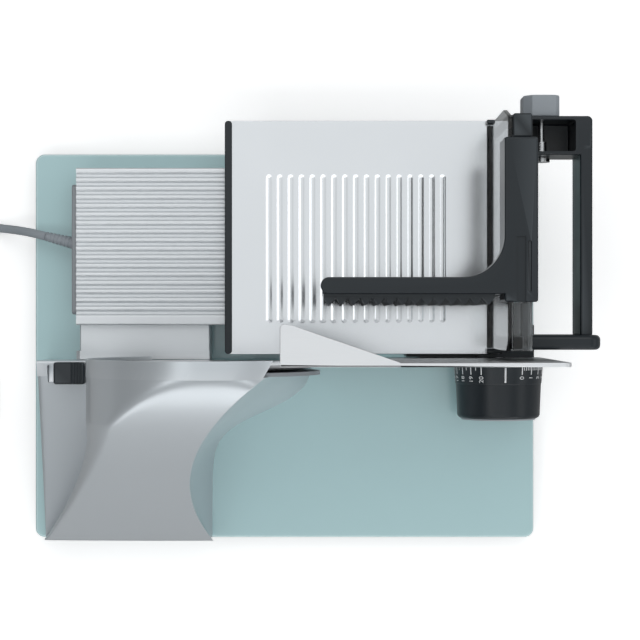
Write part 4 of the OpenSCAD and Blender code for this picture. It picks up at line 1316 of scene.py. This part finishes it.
    def build(self) -> None:
        """Joins skin, rim and ledge, and cuts the hollow, the hub's hole and the switch's place."""
        base, back, left = self.base, self.back, self.left
        y = np.array([-12.0, -0.3])
        ledge = rounded_outline([(y[0], base), (y[1], base), (y[1], self.ledge(y)[1]),
                                 (y[0], self.ledge(y)[0])], [0, 0.4, 1.2, 0], 5)
        end = prism(ledge, left, -80.5, Axis.X)
        recess = soft_block((left + 7.8, back - 9, 62.0), (-self.hood_r - 6.3, -3.5, 90.0),
                            0.8, 1.5)
        hub = rod((0.0, self.axis), 24, back - 3, back + 1, Axis.Y)
        inner = self.skin(-15.0, self.front + 6, 4.0, 7.0, base - 2, 60)
        shell = shaped(self.skin(back, self.front, 0, 0, base, self.rows), ("UNION", end),
                       ("UNION", self.rim()), ("DIFFERENCE", inner), ("DIFFERENCE", hub),
                       ("DIFFERENCE", recess))
        piece("housing_shell", shell, PAINT, "base", ("motor_housing",), sharp=38)


# ---------------------------------------------------------------------------------------------
# Blade
# ---------------------------------------------------------------------------------------------


@dataclass
class Blade:
    """The dished blade with its ground bevel, and the disc behind it."""

    dish: float = 3.0
    thick: float = 1.2

    def build(self) -> None:
        """Turns the blade's section about its axis: flat dish, cone and a fine bevel."""
        low, high = DATUM.box("blade")
        radius, axis = (high[0] - low[0]) / 2, (low[2] + high[2]) / 2
        d, t = self.dish, self.thick
        section = np.array([(0, -d), (radius - 23, -d), (radius - 21.5, -d + 0.12),
                            (radius - 7, -0.55), (radius - 6, -0.4), (radius - 0.1, 0),
                            (radius, -0.1), (radius - 5, -0.4 - t), (radius - 22, -d - t),
                            (0, -d - t)])
        disc = turned(section, (0.0, axis), Axis.Y, 240)
        piece("round_blade", disc, BLADE_STEEL, "blade", ("blade",), sharp=4)


# ---------------------------------------------------------------------------------------------
# Food carriage
# ---------------------------------------------------------------------------------------------


@dataclass
class Carriage:
    """The ribbed plate, its strip, the clear guard with its rail, and the handle."""

    ribs: int = 17
    pitch: float = 8.08
    rib_high: float = 0.46
    rib_half: float = 2.9
    first_rib: float = 31.0
    rib_start: float = 25.9
    rib_long: float = 105.5
    rib_room: float = 1.0
    flange: float = 2.5
    guard_thick: float = 3.0
    bar_rise: tuple = (34.0, 72.0)
    bar_wide: float = 8.8
    shield_rise: tuple = (29.0, 94.0)
    shield_deep: float = 10.3
    spine_wide: float = 9.1
    far_deep: float = 27.4

    def plate(self) -> None:
        """The steel plate: a rib's height is half of 1 + cos over the distance from its line."""
        low, high = DATUM.box("carriage_plate")
        top = high[2] - self.rib_room
        lines = low[0] + self.first_rib + self.pitch * np.arange(self.ribs)
        near = np.linspace(-self.rib_half, self.rib_half, 11)
        x = np.unique(np.concatenate([[low[0], high[0]], (lines[:, None] + near).ravel()]).round(4))
        ends = low[1] + self.rib_start + np.array([0, self.rib_long])
        y = np.concatenate([[low[1]], ends[0] + near, np.linspace(ends[0] + 4, ends[1] - 4, 6),
                            ends[1] + near, [high[1]]])
        gx, gy = np.meshgrid(x, y)
        across = np.min(np.abs(gx[..., None] - lines), axis=-1)
        past = np.maximum(0, np.maximum(ends[0] - gy, gy - ends[1]))
        away = np.minimum(np.hypot(across, past) / self.rib_half, 1)
        height = top + self.rib_high * 0.5 * (1 + np.cos(math.pi * away))
        upper = grid(np.stack([gx, gy, height], axis=-1))
        under = grid(np.stack([gx, gy, np.full_like(gx, low[2])], axis=-1)[:, ::-1])
        sides = []
        for rim in (np.s_[0], np.s_[-1], np.s_[:, 0], np.s_[:, -1]):
            strip = np.stack([gx[rim], gy[rim]], axis=-1)
            sides.append(grid(np.stack([np.column_stack([strip, np.full(len(strip), z)])
                                        for z in (low[2], top)])))
        piece("ribbed_plate", upper.joined(under, *sides), PLATE_STEEL, "carriage",
              ("carriage_plate",), sharp=45, bevel=0.35)

    def strip(self) -> None:
        """The moulded edge strip, open where the plate lies in it."""
        low, high = DATUM.box("plate_edge_strip")
        plate_low, plate_high = DATUM.box("carriage_plate")
        body = soft_block(low, high, 0.7, 2.6)
        groove = block((plate_low[0], low[1] - 1, plate_low[2]),
                       (high[0] + 1, high[1] + 1, plate_high[2] - self.rib_room))
        piece("edge_strip", shaped(body, ("DIFFERENCE", groove)), BLACK, "carriage",
              ("plate_edge_strip",))

    def guard(self) -> None:
        """The clear guard: a rounded sheet with a flange on each side of its foot."""
        low, high = DATUM.box("thumb_guard")
        x0 = low[0] + self.flange
        outline = rounded_outline([(low[1], low[2]), (high[1], low[2]), (high[1], high[2] - 30),
                                   (high[1] - 6.2, high[2] - 6), (high[1] - 8.8, high[2]),
                                   (low[1] + 7.8, high[2]), (low[1], high[2] - 12)],
                                  [0.3, 0.3, 8, 4, 3, 8, 8], 8)
        sheet = plate(outline, x0, x0 + self.guard_thick, 0.5, Axis.X)
        left = soft_block((low[0], low[1], low[2]), (x0 + 0.6, high[1], low[2] + 2), 0.5)
        right = soft_block((x0 + 2.4, low[1], low[2]), (high[0], high[1], low[2] + 2), 0.5)
        shape = shaped(sheet, ("UNION", left), ("UNION", right))
        piece("clear_guard", shape, CLEAR, "carriage", ("thumb_guard",), sharp=30)

    def rail(self) -> None:
        """The clear rail on top of the guard, with a channel along it, and its end cap."""
        low, high = DATUM.box("pusher_rail")
        x0 = DATUM.box("thumb_guard")[0][0] + (self.flange + self.guard_thick)
        body = soft_block((x0, low[1], low[2]), high, 0.5, 0.8, Axis.Y)
        channel = block((high[0] - 2.5, low[1] - 1, low[2] + 4),
                        (high[0] + 1, high[1] + 1, high[2] - 4))
        piece("clear_rail", shaped(body, ("DIFFERENCE", channel)), CLEAR, "carriage",
              ("pusher_rail",), sharp=30)
        low, high = DATUM.box("rail_end_cap")
        piece("rail_cap", soft_block(low, high, 1.0, 1.6), BLACK, "carriage", ("rail_end_cap",))

    def handle(self) -> None:
        """The handle: posts, a near shield and a far block, joined by a bar beyond the fingers."""
        low, high = DATUM.box("carriage_handle")
        plate_top = DATUM.box("carriage_plate")[1][2] - self.rib_room
        x0, y0, y1 = low[0], low[1], high[1]
        spine = x0 + self.spine_wide
        bar_x1 = high[0] - 3
        bar_x0 = bar_x1 - self.bar_wide
        far_y = y1 - self.far_deep
        z0, z1 = (plate_top + rise for rise in self.bar_rise)
        shield_z = [plate_top + rise for rise in self.shield_rise]
        rail_z = DATUM.box("pusher_rail")[0][2]
        base = soft_block((x0, y0, low[2]), (spine, y1, z0 + 1), 1.5, 2.0)
        near = plate(rounded_outline([(x0 + 2, shield_z[0]), (high[0], shield_z[0]),
                                      (high[0], shield_z[1]), (x0 + 2, shield_z[1])],
                                     [4, 9, 9, 4], 9),
                     y0, y0 + self.shield_deep, 3.2, Axis.Y, 7)
        upright = soft_block((spine - 1, y0, shield_z[0]), (spine + 7, y0 + 33.5, shield_z[1]),
                             1.6, 2.4)
        far = plate(rounded_outline([(x0 + 2, far_y), (bar_x1, far_y), (bar_x1, y1),
                                     (x0 + 2, y1)], [3, 5, 3.5, 3], 8), z0, z1, 1.3, Axis.Z)
        bar = soft_block((bar_x0, y0 + 9.3, z0), (bar_x1, y1 - 19.4, z1), 1.5, 2.0)
        pocket = soft_block((spine + 3, y1 - 24.9, z0 + 3), (bar_x0 - 3, y1 - 2.5, z1 + 8),
                            1.2, 2.0)
        posts = [("UNION", soft_block((x0, y, low[2] + 1), (spine - 1, y + 10, rail_z), 1.0))
                 for y in (y0, y1 - 14)]
        middle = DATUM.middle("lock_shaft")
        hole = rod((middle[0], middle[2]), 2.3, y1 - 40, y1 + 1, Axis.Y, 24)
        shape = shaped(base, *posts, ("UNION", near), ("UNION", upright), ("UNION", far),
                       ("UNION", bar), ("DIFFERENCE", pocket), ("DIFFERENCE", hole))
        piece("handle_frame", shape, BLACK, "carriage", ("carriage_handle",), sharp=32)

    def clips(self) -> None:
        """The two feet that hold the guard on the plate."""
        low, high = DATUM.box("guard_clips")
        near = soft_block(low, (high[0], low[1] + 3.5, high[2]), 0.8)
        far = soft_block((low[0], high[1] - 3, low[2]), high, 0.8)
        piece("guard_feet", near.joined(far), BLACK, "carriage", ("guard_clips",))

    def lock(self) -> None:
        """The knob that locks the carriage: a chamfered grip, thick along the shaft."""
        low, high = DATUM.box("lock_knob")
        x, z = (low[0] + 14, (low[2] + high[2]) / 2)
        outline = rounded_outline([(x - 14, z - 10), (x - 11, z - 13), (x + 8.6, z - 13),
                                   (x + 11.6, z - 10), (x + 11.6, z + 10), (x + 8.6, z + 13),
                                   (x - 8, z + 13), (x - 14, z + 7)], 1.8, 6)
        piece("lock_grip", plate(outline, low[1], high[1], 1.3, Axis.Y, 6), GREY, "carriage_lock",
              ("lock_knob",), sharp=40)

    def build(self) -> None:
        """Makes all of the carriage's pieces."""
        self.plate()
        self.strip()
        self.guard()
        self.rail()
        self.handle()
        self.clips()
        self.lock()


@dataclass
class Pusher:
    """The food pusher: a mount over the rail and an arm with a deep face."""

    fillet: float = 28.0
    arm_deep: float = 12.0

    def build(self) -> None:
        """Joins the mount, the arm with its sweep into the mount, and the thin face below it."""
        low, high = DATUM.box("pusher_body")
        arm_y0, arm_y1 = low[1] + 5.4, low[1] + 16.7
        rail_low, rail_high = DATUM.box("pusher_rail")
        mount_x0, mount_x1 = high[0] - 22.5, high[0]
        mount_z = rail_low[2] - 13
        end = low[0] + 5.65
        r = (arm_y1 - arm_y0) / 2
        t = np.linspace(-math.pi / 2, -3 * math.pi / 2, 17)
        tip = np.stack([low[0] + 2.0 + r + r * np.cos(t),
                        (arm_y0 + arm_y1) / 2 + r * np.sin(t)], axis=1)
        t = np.linspace(-math.pi / 2, 0, 25)
        f = self.fillet
        sweep = np.stack([mount_x0 - f + f * np.cos(t), arm_y1 + f + f * np.sin(t)], axis=1)
        back = np.array([(mount_x0, high[1] - 0.5), (mount_x0 + 4, high[1] - 0.5),
                         (mount_x0 + 4, arm_y0)])
        arm = plate(np.concatenate([tip, sweep, back]), high[2] - self.arm_deep, high[2], 1.1)
        mount = soft_block((mount_x0, low[1], mount_z), high, 1.3, 1.8)
        face = soft_block((end - 2.5, arm_y0, low[2]), (mount_x0 + 1, arm_y0 + 3, high[2] - 4), 0.8)
        guard_x0 = DATUM.box("thumb_guard")[0][0] + Carriage.flange
        slot = block((guard_x0 - 0.4, low[1] - 1, mount_z - 1),
                     (rail_high[0] + 0.3, high[1] + 1, rail_high[2] + 0.3))
        groove = soft_block((mount_x1 - 7, low[1] + 7, high[2] - 2),
                            (mount_x1 - 4.5, low[1] + 41, high[2] + 2), 0.3, 0.6)
        step = block((mount_x1 - 14.5, low[1] - 1, high[2] - 1.2),
                     (mount_x1 - 8.2, low[1] + 44, high[2] + 2))
        shape = shaped(mount, ("UNION", arm), ("UNION", face), ("DIFFERENCE", slot),
                       ("DIFFERENCE", groove), ("DIFFERENCE", step))
        piece("pusher_moulding", shape, BLACK, "food_pusher", ("pusher_body",), sharp=32)


# ---------------------------------------------------------------------------------------------
# Stop plate, thickness knob and switch
# ---------------------------------------------------------------------------------------------


@dataclass
class StopPlate:
    """The plate that the food leans on; its arc follows the blade."""

    arc_r: float = 87.0
    left: float = 49.4
    thick: float = 3.0
    flap_reach: float = 27.4
    flap_long: float = 80.0
    hub_bore: float = 8.5
    pin_bore: float = 3.05
    pin_rise: float = 22.0
    pins_at: tuple = (-54.0, 18.0)

    def build(self) -> None:
        """Cuts the arc and the bores out of the plate, and adds the flap at its top."""
        low, high = DATUM.box("stop_plate")
        axis, base = DATUM.middle("blade")[2], DATUM.box("glass_plate")[1][2]
        kx, _, kz = DATUM.middle("thickness_knob")
        y0, y1, right, top = low[1], low[1] + self.thick, high[0], high[2]
        outline = rounded_outline([
            (self.left, top), (right, top), (right, base + 26), (kx + 22, base + 26),
            (kx + 22, base + 14), (kx - 60, base + 14), (kx - 60, base + 26), (72, base + 34),
            (72, axis), (self.left, axis)], [0.5, 5, 5, 2, 3, 3, 2, 3, 0.5, 0.5], 8)
        sheet = plate(outline, y0, y1, 0.7, Axis.Y)
        flap_end = self.left + self.flap_long
        flap = rounded_outline([(self.left, y0), (self.left, self.flap_reach),
                                (self.left + 8, self.flap_reach - 1), (flap_end, y1 - 0.1),
                                (flap_end, y0)], [0.3, 2.5, 14, 6, 0.3], 10)
        flap = plate(flap[::-1], top - 2, top, 0.6)
        arc = rod((0.0, axis), self.arc_r, y0 - 1, y1 + 60, Axis.Y, 180)
        hub = rod((kx, kz), self.hub_bore, y0 - 1, y1 + 1, Axis.Y)
        pin_z = base + self.pin_rise
        pins = [("DIFFERENCE", rod((kx + x, pin_z), self.pin_bore, y0 - 1, y1 + 1, Axis.Y, 24))
                for x in self.pins_at]
        shape = shaped(sheet, ("UNION", flap), ("DIFFERENCE", arc), ("DIFFERENCE", hub), *pins)
        piece("stop_face", shape, STOP_ALU, "stop", ("stop_plate",), sharp=30)


@dataclass
class ThicknessKnob:
    """The slice thickness knob with a plain printed scale in millimetres."""

    zero: float = 26.2
    per_mm: float = 15.27
    mark: float = 3.2
    bore: float = 12.15
    band_long: float = 14.0
    band_taper: float = 1.1

    def __post_init__(self) -> None:
        """Reads the knob's axis and radius from its node."""
        low, high = DATUM.box("thickness_knob")
        self.x, _, self.z = DATUM.middle("thickness_knob")
        self.r, self.y1, self.y0 = (high[0] - low[0]) / 2, high[1], low[1]

    def band(self, y: np.ndarray) -> np.ndarray:
        """Radius of the printed band, which tapers evenly from the plate side."""
        return self.r - 0.16 - self.band_taper * (self.y1 - y) / self.band_long

    def body(self) -> None:
        """Turns the knob's section: printed band, step, tapering grip and round front edge."""
        r, y1, y0 = self.r, self.y1, self.y0
        section = [(self.bore, y1), (r - 0.8, y1), (r - 0.35, y1 - 0.15), (r - 0.2, y1 - 0.6),
                   (r - 1.26, y1 - 14), (r - 1.5, y1 - 14.25), (r - 1.62, y1 - 14.6),
                   (r - 2.5, y0 + 6.2)]
        t = np.radians(np.linspace(2, 84, 9))
        rim = [(r - 5.6 + 3.05 * math.cos(a), y0 + 4.2 - 3.3 * math.sin(a)) for a in t]
        inner = [(r - 5.6, y0 + 0.95), (r - 5.6, y1 - 4), (self.bore, y1 - 4)]
        profile = np.array(section + rim + inner)
        t = np.radians(np.linspace(0, 360, 144, endpoint=False))
        ring = profile[None, :, 0, None] * np.stack([np.cos(t), np.sin(t)], axis=-1)[:, None]
        points = np.stack([self.x + ring[..., 0], profile[:, 1] + 0 * ring[..., 0],
                           self.z + ring[..., 1]], axis=-1)
        piece("thickness_grip", grid(points, close_rows=True, close_columns=True), BLACK,
              "thickness_dial", ("thickness_knob",), sharp=28)

    def cap(self) -> None:
        """The domed grey cap in the knob's front."""
        r, y0 = self.r - 5.65, self.y0
        low, _ = DATUM.box("knob_cap")
        across = np.linspace(0, 1, 14)
        dome = np.stack([r * across, low[1] + 0.9 * across ** 2.4], axis=1)[::-1]
        section = np.vstack([[(0, y0 + 4.2), (r, y0 + 4.2)], dome])
        piece("knob_disc", turned(section, (self.x, self.z), Axis.Y, 120), GREY, "thickness_dial",
              ("knob_cap",), sharp=40)

    def wrapped(self, flat: np.ndarray, angle: float, y: float) -> np.ndarray:
        """Wraps flat points round the band: one coordinate runs to +Y and the other to -X.

        Args:
            flat: the points.
            angle: turn of their origin about the axis, in degrees.
            y: place of their origin along it.

        Returns:
            The wrapped points.
        """
        along = y + flat[:, 0]
        turn = np.radians(angle) - flat[:, 1] / self.r
        radius = self.band(along) + 0.1
        return np.stack([self.x + radius * np.sin(turn), along,
                         self.z + radius * np.cos(turn)], axis=1)

    def tick(self, angle: float, y0: float, y1: float, width: float) -> Surface:
        """One printed line: a narrow grid along the axis, wrapped round the band.

        Args:
            angle: its place round the band, in degrees.
            y0: its start along the axis.
            y1: its end.
            width: its width.

        Returns:
            The surface.
        """
        long, wide = np.meshgrid(np.linspace(y1 - y0, 0, 5),
                                 np.linspace(-width / 2, width / 2, 3))
        flat = np.stack([long.ravel(), wide.ravel()], axis=1)
        return grid(self.wrapped(flat, angle, y0).reshape(3, 5, 3))

    def numeral(self, value: int, angle: float, size: float) -> Surface:
        """A number made of a font's outlines, wrapped round the band.

        Args:
            value: the number.
            angle: its place round the band, in degrees.
            size: height of its digits.

        Returns:
            The surface.
        """
        data = bpy.data.curves.new("numeral", "FONT")
        data.body = str(value)
        data.size = size
        data.offset = 0.012
        data.align_y = "CENTER"
        data.align_x = "RIGHT"
        made = linked("numeral", data)
        flat = evaluated(made)
        bpy.data.objects.remove(made)
        bpy.data.curves.remove(data)
        return Surface(self.wrapped(flat.points[:, :2], angle, self.y1 - 8.1), flat.faces)

    def scale(self) -> None:
        """Prints a tick and a number for each millimetre, finer ticks, and one long mark."""
        parts = [self.tick(self.mark, self.y1 - 12.8, self.y1 - 1.7, 1.35)]
        for value in range(21):
            angle = self.zero + self.per_mm * value
            parts.append(self.tick(angle, self.y1 - 7.0, self.y1 - 1.2, 0.85))
            parts.append(self.numeral(value, angle, 5.0))
        fine = [v / 5 for v in range(1, 20) if v % 5] + [v + 0.5 for v in range(4, 20)]
        for value in fine:
            angle = self.zero + self.per_mm * value
            parts.append(self.tick(angle, self.y1 - 3.9, self.y1 - 1.3, 0.5))
        made = piece("printed_scale", parts[0].joined(*parts[1:]), PRINT, "thickness_dial")
        paint = made.modifiers.new("paint", "SOLIDIFY")
        paint.thickness = 0.09 * MM
        paint.offset = -1

    def build(self) -> None:
        """Makes the knob, its cap and its scale."""
        self.body()
        self.cap()
        self.scale()


@dataclass
class PowerSwitch:
    """The sliding switch on the housing's ledge."""

    def build(self) -> None:
        """A soft block with a row of grip grooves, over a narrow neck and a stem."""
        low, high = DATUM.box("power_switch_slider")
        body = soft_block((low[0], low[1], high[2] - 10.5), high, 1.4, 2.0)
        neck = block((low[0] + 1, low[1] + 2.1, high[2] - 17.4),
                     (high[0] - 1.2, high[1] - 3.3, high[2] - 10))
        stem = block((low[0] + 8, low[1] + 6.1, low[2]), (high[0] - 8, low[1] + 9, high[2] - 17))
        cuts = [("DIFFERENCE", rod((x, high[2] + 0.3), 0.8, low[1] - 1, high[1] + 1, Axis.Y, 16))
                for x in np.linspace(high[0] - 9.5, high[0] - 3, 4)]
        shape = shaped(body, ("UNION", neck), ("UNION", stem), *cuts)
        piece("switch_slide", shape, BLACK, "power_switch", ("power_switch_slider",), sharp=35)


def main() -> None:
    """Builds the studio, the lead and every sub-assembly, then dresses what is left."""
    studio = Studio()
    studio.camera()
    MainsLead().build()
    GlassBase().build()
    SlideBed().build()
    Housing().build()
    Blade().build()
    Carriage().build()
    Pusher().build()
    StopPlate().build()
    ThicknessKnob().build()
    PowerSwitch().build()
    dress_construction()
    studio.lights()
    studio.sky()
    studio.floor()


if __name__ == "__main__":
    main()
